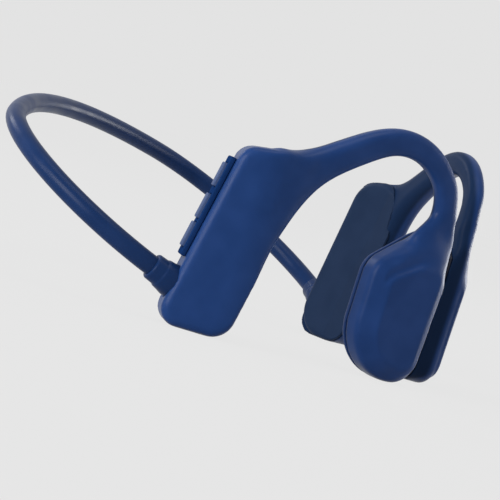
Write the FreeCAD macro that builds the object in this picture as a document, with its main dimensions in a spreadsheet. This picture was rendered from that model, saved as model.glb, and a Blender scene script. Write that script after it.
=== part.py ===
"""Bone conduction headphones, modelled as they come apart on a bench.

Frame: +X forward (the way the wearer looks), +Y to the wearer's left, +Z up. The headphones lie on a
table on the bottoms of the two boxes and the two driver pods, and the origin is under their middle.
The right side is modelled, and the left side mirrors it. Millimetres and degrees.
"""
import FreeCAD, Part
import math
import os
import re

import Sketcher
from FreeCAD import Placement, Rotation, Vector

SIZES = {
    # where the right unit stands
    "rear_x": (8.1793, "box outer rear bottom corner, forward of the origin"),
    "half_gap": (60.56, "box outer rear bottom corner, right of the middle"),
    "box_toe": (28.0, "turn of the box about the vertical, front end inward"),
    "pod_toe": (53.0, "turn of the hook and the driver pod, front end inward"),
    "corner_run": (15.75, "box rear corner to where box face and hook face meet"),
    "corner_round": (14.0, "radius between box face and hook face"),
    "pod_run": (44.5, "that corner to the middle of the pod"),
    # box behind the ear
    "box_width": (16.0, "front to rear, square to the rear edge"),
    "box_height": (42.2, "along the rear edge"),
    "box_top_rise": (5.6, "how much higher the front end of the top edge is"),
    "box_lean": (10.6, "lean of the rear edge"),
    "shell_depth": (8.4, "depth of the outer shell"),
    "cover_thick": (1.6, "thickness of the inner cover"),
    "wall": (1.4, "wall of shells"),
    "box_heel": (4.0, "round of the box's rear bottom corner"),
    "box_corner": (5.2, "corner radius at the floor"),
    "box_shoulder": (4.2, "corner radius at the rear top"),
    "box_edge": (1.8, "radius round the outer face"),
    "cover_edge": (1.5, "radius round the inner cover"),
    # ear hook
    "hook_recess": (0.25, "hook outer face under the box outer face"),
    "hook_thick": (4.6, "hook thickness over the ear"),
    "hook_high": (6.1, "hook height over the ear"),
    "hook_top": (55.1, "top of the hook over the floor"),
    # driver pod
    "pod_width": (20.4, "front to rear"),
    "pod_height": (36.0, "floor to the highest corner, inside the foot of the hook"),
    "pod_peak": (2.9, "that corner, forward of the driver axis"),
    "pod_shoulder": (25.4, "floor to the rear shoulder"),
    "pod_front": (31.0, "floor to the front corner, inside the foot of the hook"),
    "pod_tuck": (1.2, "how far the front edge draws back at the floor"),
    "pod_heel": (12.5, "corner radius, rear at the floor"),
    "pod_proud": (0.6, "outer face of the pod, proud of the hook's"),
    "face_step": (1.0, "height of the face plate on the pod"),
    "face_inset": (1.0, "face plate to the edge of the pod"),
    "face_top": (28.0, "upper end of the face plate"),
    "pod_toe_round": (6.0, "corner radius, front at the floor"),
    "pod_nape": (6.0, "corner radius of the rear shoulder"),
    "pod_shell_depth": (6.8, "depth of the outer half"),
    "gasket_thick": (0.4, "gasket between the pod halves"),
    "cap_thick": (2.1, "inner cap"),
    "pod_edge": (2.6, "radius round the pod outer face"),
    "cap_edge": (1.8, "radius round the cap"),
    # driver
    "driver_height": (15.5, "driver axis over the floor"),
    "driver_diam": (14.4, "spring ring over its rim"),
    "yoke_diam": (11.6, "steel cup"),
    "yoke_high": (2.8, "steel cup height"),
    "yoke_wall": (0.9, "steel cup wall"),
    "coil_diam": (9.0, "voice coil outside"),
    "coil_wall": (0.9, "voice coil wall"),
    "coil_high": (1.5, "voice coil height"),
    "magnet_diam": (6.2, "magnet"),
    "magnet_high": (2.0, "magnet height"),
    "plate_thick": (0.8, "driver plate"),
    "spring_thick": (0.3, "flat spring"),
    "spring_rim": (0.6, "height of the spring's rim"),
    "driver_gap": (0.5, "clearance along the driver axis"),
    "slot_gap": (0.15, "clearance of a key in its slot"),
    "fit_gap": (0.1, "clearance of pieces set in a seat"),
    # neckband
    "band_diam": (4.5, "sleeve"),
    "band_bore": (2.7, "bore of the sleeve"),
    "band_rise": (24.9, "rise of the band to the rear"),
    "band_half_width": (65.6, "middle line, widest place"),
    "band_side_round": (35.0, "radius at the sides"),
    "band_back_round": (111.0, "radius at the back"),
    "band_exit_high": (9.1, "where the band leaves the box, over the floor"),
    "flex_gap": (0.8, "parting of the two sleeve halves at the back"),
    "wire_diam": (1.2, "sprung core wire"),
    "cable_diam": (1.0, "cable that links the units"),
    "wire_tail": (6.0, "length of wire and cable inside the box"),
    "collar_diam": (6.9, "strain relief collar"),
    "collar_step": (6.1, "its thinner outer end"),
    "collar_out": (5.6, "collar outside the box"),
    "collar_root": (3.36, "length of its thick part outside the box"),
    "collar_in": (3.0, "collar inside the box"),
    "hook_wire_diam": (1.0, "spring wire in the hook"),
    "hook_wire_deep": (2.35, "its axis under the hook's face"),
    "lead_diam": (0.9, "sleeved leads in the hook"),
    "lead_deep": (3.5, "their axis under the hook's face"),
    "hook_wire_round": (12.0, "bends of wire and leads"),
    # keys
    "key_wide": (3.2, "across"),
    "key_proud": (1.9, "out of the rear edge"),
    "key_travel": (0.3, "press"),
    "power_key": (5.6, "length of the power key"),
    "volume_key": (5.8, "length of each volume key"),
    "power_gap": (1.9, "power key to volume keys"),
    "volume_gap": (1.0, "between the volume keys"),
    "key_row_low": (0.4, "middle of the keys, under the middle between collar and top"),
    "flange": (0.5, "how far the key's flange reaches under the wall"),
    "bezel_proud": (1.3, "raised strip round the keys"),
    "bezel_end": (1.8, "raised strip past the outer keys"),
    "bezel_wide": (4.9, "raised strip, across"),
    "membrane_thick": (0.3, "soft web behind the keys"),
    "membrane_lap": (0.8, "membrane and switch board past the outer keys"),
    "switch_high": (1.25, "tact switch with its plunger"),
    "plunger_high": (0.4, "its plunger"),
    "plunger_seat": (0.1, "plunger let into the switch"),
    "board_thick": (0.8, "circuit boards"),
    # inside the boxes
    "board_high": (23.0, "main board, up the rear edge"),
    "board_deep": (3.4, "main board under the outer face"),
    "board_foot": (13.0, "lower end of main board and cell"),
    "board_front": (3.3, "front edge of the board to the front of the box"),
    "screw_diam": (1.2, "board screws"),
    "screw_head": (2.4, "heads of the board screws"),
    "screw_in": (2.3, "board screws in from the board's edges"),
    "boss_diam": (3.0, "bosses under the board"),
    "cell_rear": (2.0, "rear of the cell to the rear edge of the box"),
    "cell_wide": (10.4, "battery cell"),
    "cell_high": (22.0, "battery cell"),
    "cell_thick": (5.2, "battery cell"),
    "pad_thick": (1.7, "foam under the cell"),
    "socket_wide": (8.0, "charging seat"),
    "socket_high": (3.6, "charging seat"),
    "socket_at": (20.0, "charging seat up the rear edge"),
    "socket_sunk": (0.2, "charging seat under the cover's face"),
    "lip": (0.6, "lip of pieces seated behind the cover"),
    "pin_diam": (1.2, "charging pins"),
    "pin_head": (0.4, "their heads behind the seat"),
    "pin_sunk": (0.1, "their tips under the cover's face"),
    "light_up": (7.0, "light guide over the charging seat"),
    "light_sunk": (0.05, "light guide under the cover's face"),
    "light_diam": (1.6, "light guide"),
    "mic_diam": (4.0, "microphone capsule"),
    "mic_high": (1.5, "microphone capsule"),
    "mesh_deep": (0.4, "microphone mesh under the cover's face"),
    "mesh_thick": (0.2, "microphone mesh"),
    "can_long": (5.2, "radio can"),
    "can_high": (5.6, "radio can"),
    "can_thick": (1.2, "radio can"),
    "amplifier_wide": (3.6, "amplifier chip, square"),
    "amplifier_thick": (0.8, "amplifier chip"),
    "head_thick": (0.8, "heads of the board screws"),
    "guard_step": (0.6, "battery board's edge in from the cell's faces"),
    "hub_gap": (0.2, "yoke's hub to the spring's rim"),
    "spring_ring": (1.6, "rim of the flat spring, twice its breadth"),
    "slot_off": (1.2, "slots of the flat spring, off its middle"),
    "slot_start": (1.4, "from the driver axis to where they start"),
    "slot_stop": (0.8, "from where they stop to the spring's edge"),
}

doc = FreeCAD.newDocument("headphones")
sheet = doc.addObject("Spreadsheet::Sheet", "sizes")
for row, (alias, (value, note)) in enumerate(SIZES.items(), start=1):
    sheet.set(f"A{row}", note)
    sheet.set(f"B{row}", str(value))
    sheet.setAlias(f"B{row}", alias)
doc.recompute()


def size(alias):
    """The number in the sheet."""
    return float(sheet.get(alias))


def named(expression):
    """An expression in which each size is read from the sheet."""
    return re.sub(r"[a-z_]+", lambda word: f"sizes.{word[0]}" if word[0] in SIZES else word[0], expression)


def bind(item, **rules):
    """Tie an object's properties to the sheet."""
    for name, rule in rules.items():
        item.setExpression(name, named(rule))


def seat(item, frame, x="0", y="0", z="0", turn="rotation(0; 0; 0)"):
    """Place an object in one of the frames below."""
    where = named(f"placement(vector({x}; {y}; {z}); {turn})")
    item.setExpression("Placement", f"{frame.Name}.Placement * {where}")


# --- frames -------------------------------------------------------------------------------------
# box_frame: x along the box, y inward from the outer face, z up
# lean_frame: the same, turned so that z runs up the box's rear edge
# pod_frame: x along the pod, y inward from its outer face, z up, in the middle of the pod
# band_frame: x to the rear along the rising band, y to the right, z square to the band
AXIS_ALONG_X = "rotation(vector(0; 1; 0); 90)"
AXIS_INWARD = "rotation(vector(1; 0; 0); -90)"


def make_frame(name, x, y, z, turn):
    """One local coordinate system."""
    frame = doc.addObject("App::LocalCoordinateSystem", name)
    frame.setExpression("Placement", named(f"placement(vector({x}; {y}; {z}); {turn})"))
    return frame


CORNER_X = "rear_x + corner_run * cos(box_toe * 1deg)"
CORNER_Y = "-half_gap + corner_run * sin(box_toe * 1deg)"
EXIT_RUN = "band_exit_high * tan(box_lean * 1deg)"
EXIT_DEEP = "shell_depth / 2"
box_frame = make_frame("box_frame", "rear_x", "-half_gap", "0", "rotation(box_toe; 0; 0)")
lean_frame = make_frame("lean_frame", "rear_x", "-half_gap", "0", "rotation(box_toe; box_lean; 0)")
pod_frame = make_frame(
    "pod_frame",
    f"{CORNER_X} + pod_run * cos(pod_toe * 1deg) + pod_proud * sin(pod_toe * 1deg)",
    f"{CORNER_Y} + pod_run * sin(pod_toe * 1deg) - pod_proud * cos(pod_toe * 1deg)",
    "0",
    "rotation(pod_toe; 0; 0)",
)
band_frame = make_frame(
    "band_frame",
    f"rear_x + {EXIT_RUN} * cos(box_toe * 1deg) - {EXIT_DEEP} * sin(box_toe * 1deg)",
    "0",
    "band_exit_high",
    "rotation(180; -band_rise; 0)",
)
doc.recompute()


# --- makers of simple solids --------------------------------------------------------------------
def block(name, frame, x, y, z, long, deep, high):
    """A box whose nearest corner is at x, y, z of a frame."""
    item = doc.addObject("Part::Box", name)
    bind(item, Length=long, Width=deep, Height=high)
    seat(item, frame, x, y, z)
    return item


def disc(name, frame, x, y, z, diameter, high, turn=AXIS_INWARD):
    """A cylinder that starts at x, y, z of a frame."""
    item = doc.addObject("Part::Cylinder", name)
    bind(item, Radius=f"({diameter}) / 2", Height=high)
    seat(item, frame, x, y, z, turn)
    return item


def fuse(name, *items):
    """One solid from several."""
    item = doc.addObject("Part::MultiFuse", name)
    item.Shapes = list(items)
    item.Refine = True
    return item


def cut(name, base, *tools):
    """A solid less its tools."""
    item = doc.addObject("Part::Cut", name)
    item.Base = base
    item.Tool = tools[0] if len(tools) == 1 else fuse(name + "_tools", *tools)
    return item


def common(name, one, other):
    """What two solids share."""
    item = doc.addObject("Part::MultiCommon", name)
    item.Shapes = [one, other]
    return item


def feature(name, shape):
    """A solid made with Part's own functions."""
    item = doc.addObject("Part::Feature", name)
    item.Shape = shape
    return item


SKETCH_START = 9  # where a sketch's corners lie before their sizes place them


def plate(name, frame, outline, start, thick, corners=(), rim=None, rim_inner=True):
    """A plate with an outline in a frame's x and z, grown inward from a depth.

    corners: (index of the outline's corner, radius); rim: radius round one face.
    """
    body = doc.addObject("PartDesign::Body", name)
    sketch = body.newObject("Sketcher::SketchObject", name + "_outline")
    plane = [item for item in body.Origin.OriginFeatures if item.Role == "XZ_Plane"][0]
    sketch.AttachmentSupport = [(plane, "")]
    sketch.MapMode = "FlatFace"
    count = len(outline)
    first = Vector(-SKETCH_START, -SKETCH_START, 0)
    start_points = [Rotation(Vector(0, 0, 1), 360 * i / count).multVec(first) for i in range(count)]
    for i in range(count):
        sketch.addGeometry(Part.LineSegment(start_points[i], start_points[(i + 1) % count]), False)
    for i in range(count):
        sketch.addConstraint(Sketcher.Constraint("Coincident", i, 2, (i + 1) % count, 1))
    for i, rules in enumerate(outline):
        for kind, rule in zip(("DistanceX", "DistanceY"), rules):
            index = sketch.addConstraint(Sketcher.Constraint(kind, -1, 1, i, 1, 1.0))
            sketch.renameConstraint(index, f"{kind}_{i}")
            sketch.setExpression(f"Constraints.{kind}_{i}", named(rule))
    pad = body.newObject("PartDesign::Pad", name + "_pad")
    pad.Profile = sketch
    bind(pad, Length=thick)
    pad.Reversed = True
    seat(body, frame, y=start)
    doc.recompute()
    for index, radius in corners:
        point = sketch.Geometry[index].StartPoint
        edges = edges_where(body.Tip.Shape, lambda v: abs(v.x - point.x) + abs(v.z - point.y) < 1e-4)
        round_off(body, f"{name}_corner_{index}", edges, radius)
    if rim:
        level = body.Tip.Shape.BoundBox.YMax if rim_inner else body.Tip.Shape.BoundBox.YMin
        edges = edges_where(body.Tip.Shape, lambda v: abs(v.y - level) < 1e-4)
        round_off(body, f"{name}_rim", edges, rim)
    return body


def edges_where(shape, test):
    """Names of the edges whose ends both pass a test."""
    return [f"Edge{i}" for i, edge in enumerate(shape.Edges, start=1) if all(test(v.Point) for v in edge.Vertexes)]


def round_off(body, name, edges, radius):
    """A fillet on a body's tip."""
    before = body.Tip
    fillet = body.newObject("PartDesign::Fillet", name)
    fillet.Base = (before, edges)
    bind(fillet, Radius=radius)
    body.Tip = fillet
    doc.recompute()


# --- arm: box shell, ear hook and pod shell in one moulding ----------------------------------------
BOX_OUTLINE = [
    ("0", "0"),
    ("box_width", "box_width * tan(box_lean * 1deg)"),
    ("box_width", "box_height + box_top_rise"),
    ("0", "box_height"),
]
BOX_CORNERS = [(0, "box_heel"), (1, "box_corner"), (3, "box_shoulder")]
COVER_CORNERS = [
    (0, "box_heel + 2 * cover_thick"),
    (1, "box_corner"),
    (2, "box_corner + cover_thick"),
    (3, "box_shoulder + 2 * cover_thick"),
]
BOX_INSIDE = [
    ("wall", "wall * 1.4"),
    ("box_width - wall", "(box_width - wall) * tan(box_lean * 1deg) + wall * 1.4"),
    ("box_width - wall", "box_height + box_top_rise - wall * 1.6"),
    ("wall", "box_height - wall"),
]
BOX_INSIDE_CORNERS = [
    (0, "box_heel"),
    (1, "box_corner - wall"),
    (2, "box_corner + cover_thick - wall"),
    (3, "box_shoulder"),
]
POD_OUTLINE = [
    ("-pod_width / 2", "0"),
    ("pod_width / 2 - pod_tuck", "0"),
    ("pod_width / 2", "pod_front"),
    ("pod_peak", "pod_height"),
    ("-pod_width / 2", "pod_shoulder"),
]
POD_CORNERS = [(0, "pod_heel"), (1, "pod_toe_round"), (4, "pod_nape")]
FACE_OUTLINE = [
    ("-pod_width / 2 + 2.4 * face_inset", "1.8 * face_inset"),
    ("pod_width / 2 - pod_tuck - face_inset", "1.8 * face_inset"),
    ("pod_width / 2 - face_inset", "face_top - pod_peak"),
    ("pod_width / 2 - pod_peak", "face_top"),
    ("pod_peak - face_inset", "face_top"),
    ("-pod_width / 2 + 2.4 * face_inset", "pod_shoulder - 3 * face_inset"),
]
FACE_CORNERS = [
    (0, "pod_heel * 0.6"),
    (1, "pod_toe_round - face_inset"),
    (2, "pod_peak"),
    (3, "pod_peak"),
    (4, "pod_nape"),
    (5, "pod_nape"),
]
POD_INSIDE = [
    ("-pod_width / 2 + wall", "wall"),
    ("pod_width / 2 - pod_tuck - wall", "wall"),
    ("pod_width / 2 - wall", "pod_front - wall * 1.6"),
    ("pod_peak", "pod_height - wall * 1.6"),
    ("-pod_width / 2 + wall", "pod_shoulder - wall"),
]
POD_INSIDE_CORNERS = [(0, "pod_heel - wall"), (1, "pod_toe_round - wall"), (4, "pod_nape - wall")]

# Stations of the hook: run from the corner as a share of the run to the pod, drop from the top of the
# hook, tilt of the section's long axis, height and thickness over the hook's own, and depth over its recess.
HOOK_STATIONS = [
    (0.06, 23.8, 12.5, 17.2, 1.6, 0.0),
    (0.14, 18.7, 21.0, 9.0, 1.6, 0.0),
    (0.26, 13.6, 33.0, 2.5, 1.4, 0.0),
    (0.38, 9.9, 33.5, 0.9, 0.9, 0.0),
    (0.52, 6.0, 27.0, 0.5, 0.4, 0.0),
    (0.655, 3.3, 14.5, 0.0, 0.0, 0.0),
    (0.78, 2.7, -1.0, -0.3, 0.0, 0.0),
    (0.895, 3.9, -22.0, -0.6, -0.1, 0.0),
    (0.99, 6.5, -43.0, -0.7, -0.3, 0.1),
    (1.06, 9.7, -62.0, -0.6, -0.4, 0.4),
    (1.105, 14.2, -78.0, 0.0, -0.3, 0.8),
    (1.13, 18.9, -91.0, 0.9, -0.3, 1.1),
    (1.13, 24.4, -94.0, 1.8, -0.4, 1.2),
]
# Route of the wire and the leads in the hook: the same run and drop, corners of straight runs.
HOOK_ROUTE = [(0.16, 16.6), (0.58, 4.1), (0.82, 2.2), (1.03, 7.5), (1.135, 16.6), (1.135, 25.6)]
SECTION_ROUND = 0.42  # corner radius of the hook's section, as a share of its thickness


def face_point(run, deep):
    """A point under the outer face, by its run from the corner, and the heading there."""
    toe, turn = math.radians(size("box_toe")), math.radians(size("pod_toe") - size("box_toe"))
    corner = Vector(size("rear_x"), -size("half_gap"), 0)
    corner += Vector(math.cos(toe), math.sin(toe), 0) * size("corner_run")
    tangent = size("corner_round") * math.tan(turn / 2)
    heading = toe + turn * min(1, max(0, (run + tangent) / (2 * tangent)))
    along = Vector(math.cos(heading), math.sin(heading), 0)
    if abs(run) >= tangent:
        point = corner + along * run
    else:
        start = corner - Vector(math.cos(toe), math.sin(toe), 0) * tangent
        middle = start + Vector(-math.sin(toe), math.cos(toe), 0) * size("corner_round")
        point = middle + Vector(math.sin(heading), -math.cos(heading), 0) * size("corner_round")
    inward = Vector(-math.sin(heading), math.cos(heading), 0)
    return point + inward * deep, along, inward


def rounded_section(middle, long_axis, deep_axis, high, thick):
    """A closed wire: a rectangle with round corners."""
    radius = SECTION_ROUND * thick
    wire_edges = []
    quarter = 1 - math.sqrt(0.5)
    half_long, half_deep = high / 2, thick / 2
    signs = [(1, 1), (-1, 1), (-1, -1), (1, -1)]
    for k, (a, b) in enumerate(signs):
        c, d = signs[(k + 1) % 4]

        def at(long_part, deep_part):
            return middle + long_axis * long_part + deep_axis * deep_part

        before = at(a * half_long, b * (half_deep - radius))
        after = at(a * (half_long - radius), b * half_deep)
        if k % 2:
            before, after = after, before
        bulge = at(a * (half_long - radius * quarter), b * (half_deep - radius * quarter))
        wire_edges.append(Part.Arc(before, bulge, after).toShape())
        if k % 2:
            start_next = at(c * half_long, d * (half_deep - radius))
        else:
            start_next = at(c * (half_long - radius), d * half_deep)
        wire_edges.append(Part.LineSegment(after, start_next).toShape())
    return Part.Wire(wire_edges)


def hook_shape():
    """The ear hook, lofted through its stations."""
    sections = []
    for share, drop, tilt, extra_high, extra_thick, extra_deep in HOOK_STATIONS:
        thick = size("hook_thick") + extra_thick
        middle, along, inward = face_point(share * size("pod_run"), size("hook_recess") + extra_deep + thick / 2)
        middle.z = size("hook_top") - drop
        lean = math.radians(tilt)
        long_axis = Vector(0, 0, math.cos(lean)) - along * math.sin(lean)
        sections.append(rounded_section(middle, long_axis, inward, size("hook_high") + extra_high, thick))
    return Part.makeLoft(sections, True, False)


def rounded_route(corners, radius):
    """Straight runs joined by tangent arcs."""
    edges, start = [], corners[0]
    for before, corner, after in zip(corners, corners[1:], corners[2:]):
        back, ahead = (before - corner).normalize(), (after - corner).normalize()
        half = back.getAngle(ahead) / 2
        enter, leave = corner + back * (radius / math.tan(half)), corner + ahead * (radius / math.tan(half))
        middle = corner + (back + ahead).normalize() * (radius / math.sin(half) - radius)
        edges += [Part.LineSegment(start, enter).toShape(), Part.Arc(enter, middle, leave).toShape()]
        start = leave
    edges.append(Part.LineSegment(start, corners[-1]).toShape())
    return Part.Wire(edges)


def rod_along(route, diameter):
    """A round rod along a route."""
    first = route.OrderedEdges[0]
    ring = Part.Circle(first.valueAt(first.FirstParameter), first.tangentAt(first.FirstParameter), diameter / 2)
    return route.makePipeShell([Part.Wire(ring.toShape())], True, False)


def hook_rod(deep, diameter):
    """A rod along the hook's route, at a depth under the hook's outer face."""
    corners = []
    for share, drop in HOOK_ROUTE:
        corner = face_point(share * size("pod_run"), deep)[0]
        corners.append(Vector(corner.x, corner.y, size("hook_top") - drop))
    return rod_along(rounded_route(corners, size("hook_wire_round")), diameter)


ROOM = 100  # the envelopes reach past the arm on every side by this scale
CREASE_REACH = 3.5  # how far their crease may stand from the corner


def envelope(name, deep):
    """All that lies under the box face and the hook face, with their corner rounded."""
    low, long = f"-{ROOM / 4}", f"{1.5 * ROOM}"
    behind = block(name + "_box_side", box_frame, low, deep, low, long, f"{ROOM / 2}", f"{ROOM}")
    ahead = block(name + "_hook_side", pod_frame, f"-{ROOM}", f"pod_proud + {deep}", low, long, f"{ROOM}", f"{ROOM}")
    both = common(name + "_sharp", behind, ahead)
    doc.recompute()
    crease = [
        i
        for i, edge in enumerate(both.Shape.Edges, start=1)
        if abs(edge.Vertexes[0].Point.x - CORNER.x) + abs(edge.Vertexes[0].Point.y - CORNER.y) < CREASE_REACH
        and abs(edge.Length - ROOM) < 1e-6
    ]
    rounded = doc.addObject("Part::Fillet", name)
    rounded.Base = both
    radius = size("corner_round") - (0 if deep == "0" else size("wall"))
    rounded.Edges = [(index, radius, radius) for index in crease]
    doc.recompute()
    return rounded


CORNER = Vector(size("rear_x"), -size("half_gap"), 0) + Rotation(Vector(0, 0, 1), size("box_toe")).multVec(
    Vector(size("corner_run"), 0, 0)
)
outside = envelope("outside", "0")
WIRE_DEEP = size("hook_recess") + size("hook_wire_deep")
LEAD_DEEP = size("hook_recess") + size("lead_deep")
inside = envelope("inside", "wall")
hook = feature("hook", hook_shape())
box_blank = plate(
    "box_blank", lean_frame, BOX_OUTLINE, "0", "shell_depth", BOX_CORNERS, rim="box_edge", rim_inner=False
)
pod_body = plate(
    "pod_body", pod_frame, POD_OUTLINE, "face_step", "pod_shell_depth - face_step", POD_CORNERS,
    rim="pod_edge", rim_inner=False,
)
pod_face = plate(
    "pod_face", pod_frame, FACE_OUTLINE, "0", "wall + face_step", FACE_CORNERS,
    rim="face_step * 0.9", rim_inner=False,
)
pod_blank = fuse("pod_blank", pod_body, pod_face)
hook_bore = feature("hook_bore", hook_rod(WIRE_DEEP, size("hook_wire_diam")))
lead_bore = feature("lead_bore", hook_rod(LEAD_DEEP, size("lead_diam")))
box_inside = common(
    "box_inside",
    plate("box_inside_blank", lean_frame, BOX_INSIDE, "wall", "shell_depth", BOX_INSIDE_CORNERS),
    inside,
)
pod_inside = fuse(
    "pod_inside",
    plate("pod_hollow", pod_frame, POD_INSIDE, "wall + face_step", "pod_shell_depth", POD_INSIDE_CORNERS),
    disc("driver_seat", pod_frame, "0", "wall", "driver_height", "driver_diam + 2 * fit_gap", "pod_shell_depth"),
)
arm_blank = fuse("arm_blank", common("arm_faced", fuse("arm_start", box_blank, hook), outside), pod_blank)

# --- where the band leaves the box ----------------------------------------------------------------
EXIT_SIDE = f"half_gap - {EXIT_RUN} * sin(box_toe * 1deg) - {EXIT_DEEP} * cos(box_toe * 1deg)"
BAND_LEAVE = (
    f"acos(({EXIT_SIDE} - band_half_width + band_side_round)"
    " / sqrt(band_side_round ^ 2 + collar_out ^ 2)) - atan(collar_out / band_side_round)"
)
exit_frame = doc.addObject("App::LocalCoordinateSystem", "exit_frame")
seat(exit_frame, band_frame, y=EXIT_SIDE, turn=f"rotation({BAND_LEAVE}; 0; 0)")


def collar(name, grow):
    """The stepped strain relief, or the hole it is set in."""
    thick = disc(
        name + "_root", exit_frame, "-collar_in", "0", "0", f"collar_diam + {grow}", "collar_in + collar_root",
        AXIS_ALONG_X,
    )
    thin = disc(
        name + "_tip", exit_frame, "-collar_in", "0", "0", f"collar_step + {grow}", "collar_in + collar_out",
        AXIS_ALONG_X,
    )
    return fuse(name + "_solid", thick, thin)


right_collar = cut(
    "right_band_collar",
    collar("collar", "0"),
    disc("collar_bore", exit_frame, "-collar_in - 1", "0", "0", "band_diam", "collar_in + collar_out + 2", AXIS_ALONG_X),
)
collar_hole = collar("collar_hole", "0")
plain_shell = cut("plain_shell", arm_blank, box_inside, pod_inside, hook_bore, lead_bore, collar_hole)

# --- keys in the rear edge of the right box ---------------------------------------------------------
KEY_MIDDLE = "(shell_depth + cover_thick) / 2"
KEY_ROW = "(power_key + power_gap + 2 * volume_key + volume_gap)"
ROW_LOW = f"((band_exit_high + collar_diam / 2 + box_height) / 2 - key_row_low - {KEY_ROW} / 2)"
VOLUME_DOWN_AT = f"({ROW_LOW} + volume_key / 2)"
VOLUME_UP_AT = f"({ROW_LOW} + volume_key + volume_gap + volume_key / 2)"
POWER_AT = f"({ROW_LOW} + {KEY_ROW} - power_key / 2)"
KEYS = [
    ("power_button", POWER_AT, "power_key"),
    ("volume_up_button", VOLUME_UP_AT, "volume_key"),
    ("volume_down_button", VOLUME_DOWN_AT, "volume_key"),
]
FLANGE_START = "wall + fit_gap"
MEMBRANE_START = f"{FLANGE_START} + flange + key_travel + slot_gap"
SWITCH_START = f"{MEMBRANE_START} + membrane_thick"
SWITCH_BOARD_START = f"{SWITCH_START} + switch_high"
STRIP_LOW, STRIP_LONG = f"{ROW_LOW} - bezel_end", f"{KEY_ROW} + 2 * bezel_end"
WEB_LOW, WEB_LONG = f"{ROW_LOW} - membrane_lap", f"{KEY_ROW} + 2 * membrane_lap"


def across(wide):
    """Start of a piece that is centred on the keys' middle line."""
    return f"{KEY_MIDDLE} - ({wide}) / 2"


def key_slot(name, at, long, start, thick):
    """The opening that a key runs in."""
    wide = "key_wide + 2 * slot_gap"
    low, high = f"{at} - {long} / 2 - slot_gap", f"{long} + 2 * slot_gap"
    return block(name, lean_frame, start, across(wide), low, thick, wide, high)


shell_slots, bezel_slots, keys = [], [], []
for label, at, long in KEYS:
    cap = block(label + "_cap", lean_frame, "-key_proud", across("key_wide"), f"{at} - {long} / 2",
                f"key_proud + {FLANGE_START}", "key_wide", long)
    foot_wide = "key_wide + 2 * flange"
    low = f"{at} - {long} / 2"
    foot = block(label + "_foot", lean_frame, FLANGE_START, across(foot_wide), low, "flange", foot_wide, long)
    key = fuse(label, cap, foot)
    keys.append(key)
    shell_slots.append(key_slot(label + "_slot", at, long, "-key_proud", f"key_proud + {FLANGE_START}"))
    bezel_slots.append(key_slot(label + "_window", at, long, "-key_proud", "2 * key_proud"))


def strip(name, start, thick, low=WEB_LOW, long=WEB_LONG):
    """A straight strip behind or round the keys."""
    return block(name, lean_frame, start, across("bezel_wide"), low, thick, "bezel_wide", long)


bezel = cut("button_bezel", strip("bezel_strip", "-bezel_proud", "bezel_proud", STRIP_LOW, STRIP_LONG), *bezel_slots)
membrane = strip("button_membrane", MEMBRANE_START, "membrane_thick")
switch_solids = []
for label, at, long in KEYS:
    start, low = f"{SWITCH_START} + plunger_high", f"{at} - key_wide / 2"
    thick = "switch_high - plunger_high"
    switch_solids.append(
        block(label + "_switch", lean_frame, start, across("key_wide"), low, thick, "key_wide", "key_wide")
    )
    high = "plunger_high + plunger_seat"
    switch_solids.append(
        disc(label + "_plunger", lean_frame, SWITCH_START, KEY_MIDDLE, at, "key_wide / 2", high, AXIS_ALONG_X)
    )
switch_board = strip("switch_board", SWITCH_BOARD_START, "board_thick")
switches = fuse("button_switches", switch_board, *switch_solids)

# --- main board, on two bosses of the shell -----------------------------------------------------------
BOARD_REAR = f"{SWITCH_BOARD_START} + board_thick"
BOARD_TOP = "board_deep + board_thick"
SCREWS = [
    ("low", f"{BOARD_REAR} + screw_in", "board_foot + screw_in"),
    ("high", "box_width - board_front - screw_in", "board_foot + board_high - screw_in"),
]
bosses, pilots, board_holes, screws = [], [], [], []
for place, x, z in SCREWS:
    bosses.append(disc(f"boss_{place}", lean_frame, x, "wall / 2", z, "boss_diam", "board_deep - wall / 2"))
    pilots.append(disc(f"pilot_{place}", lean_frame, x, "wall", z, "screw_diam + fit_gap", "board_deep"))
    board_holes.append(
        disc(f"board_hole_{place}", lean_frame, x, "board_deep - 1", z, "screw_diam + 2 * fit_gap", "board_thick + 2")
    )
    head = disc(f"screw_head_{place}", lean_frame, x, BOARD_TOP, z, "screw_head", "head_thick")
    shank = disc(f"screw_shank_{place}", lean_frame, x, "wall + fit_gap", z, "screw_diam", f"{BOARD_TOP} - wall")
    screws.append(fuse(f"screw_{place}", head, shank))
board_wide = f"box_width - board_front - ({BOARD_REAR})"
board_plate = block(
    "board_plate", lean_frame, BOARD_REAR, "board_deep", "board_foot", board_wide, "board_thick", "board_high",
)
CAN_LOW = "board_foot + (board_high - can_high) / 2 - can_high / 2"
radio_can = block(
    "radio_can", lean_frame, f"{BOARD_REAR} + board_thick", BOARD_TOP, CAN_LOW, "can_long", "can_thick", "can_high"
)
AMPLIFIER_LOW = f"{CAN_LOW} + can_high + screw_in"
amplifier = block(
    "amplifier", lean_frame, f"{BOARD_REAR} + board_thick", BOARD_TOP, AMPLIFIER_LOW,
    "amplifier_wide", "amplifier_thick", "amplifier_wide",
)
main_board = cut("main_board", fuse("board_populated", board_plate, radio_can, amplifier), *board_holes)
board_screws = doc.addObject("Part::Compound", "board_screws")
board_screws.Links = screws
right_shell = cut("right_arm_shell", fuse("right_shell_bossed", plain_shell, *bosses), *pilots, *shell_slots)

# --- inner covers -----------------------------------------------------------------------------------
cover_blank = plate(
    "cover_blank", lean_frame, BOX_OUTLINE, "shell_depth", "cover_thick", COVER_CORNERS, rim="cover_edge"
)
plain_cover = cut("plain_cover", cover_blank, hook)
SOCKET_X = "box_width / 2"
COVER_IN = "shell_depth - lip"


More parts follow.
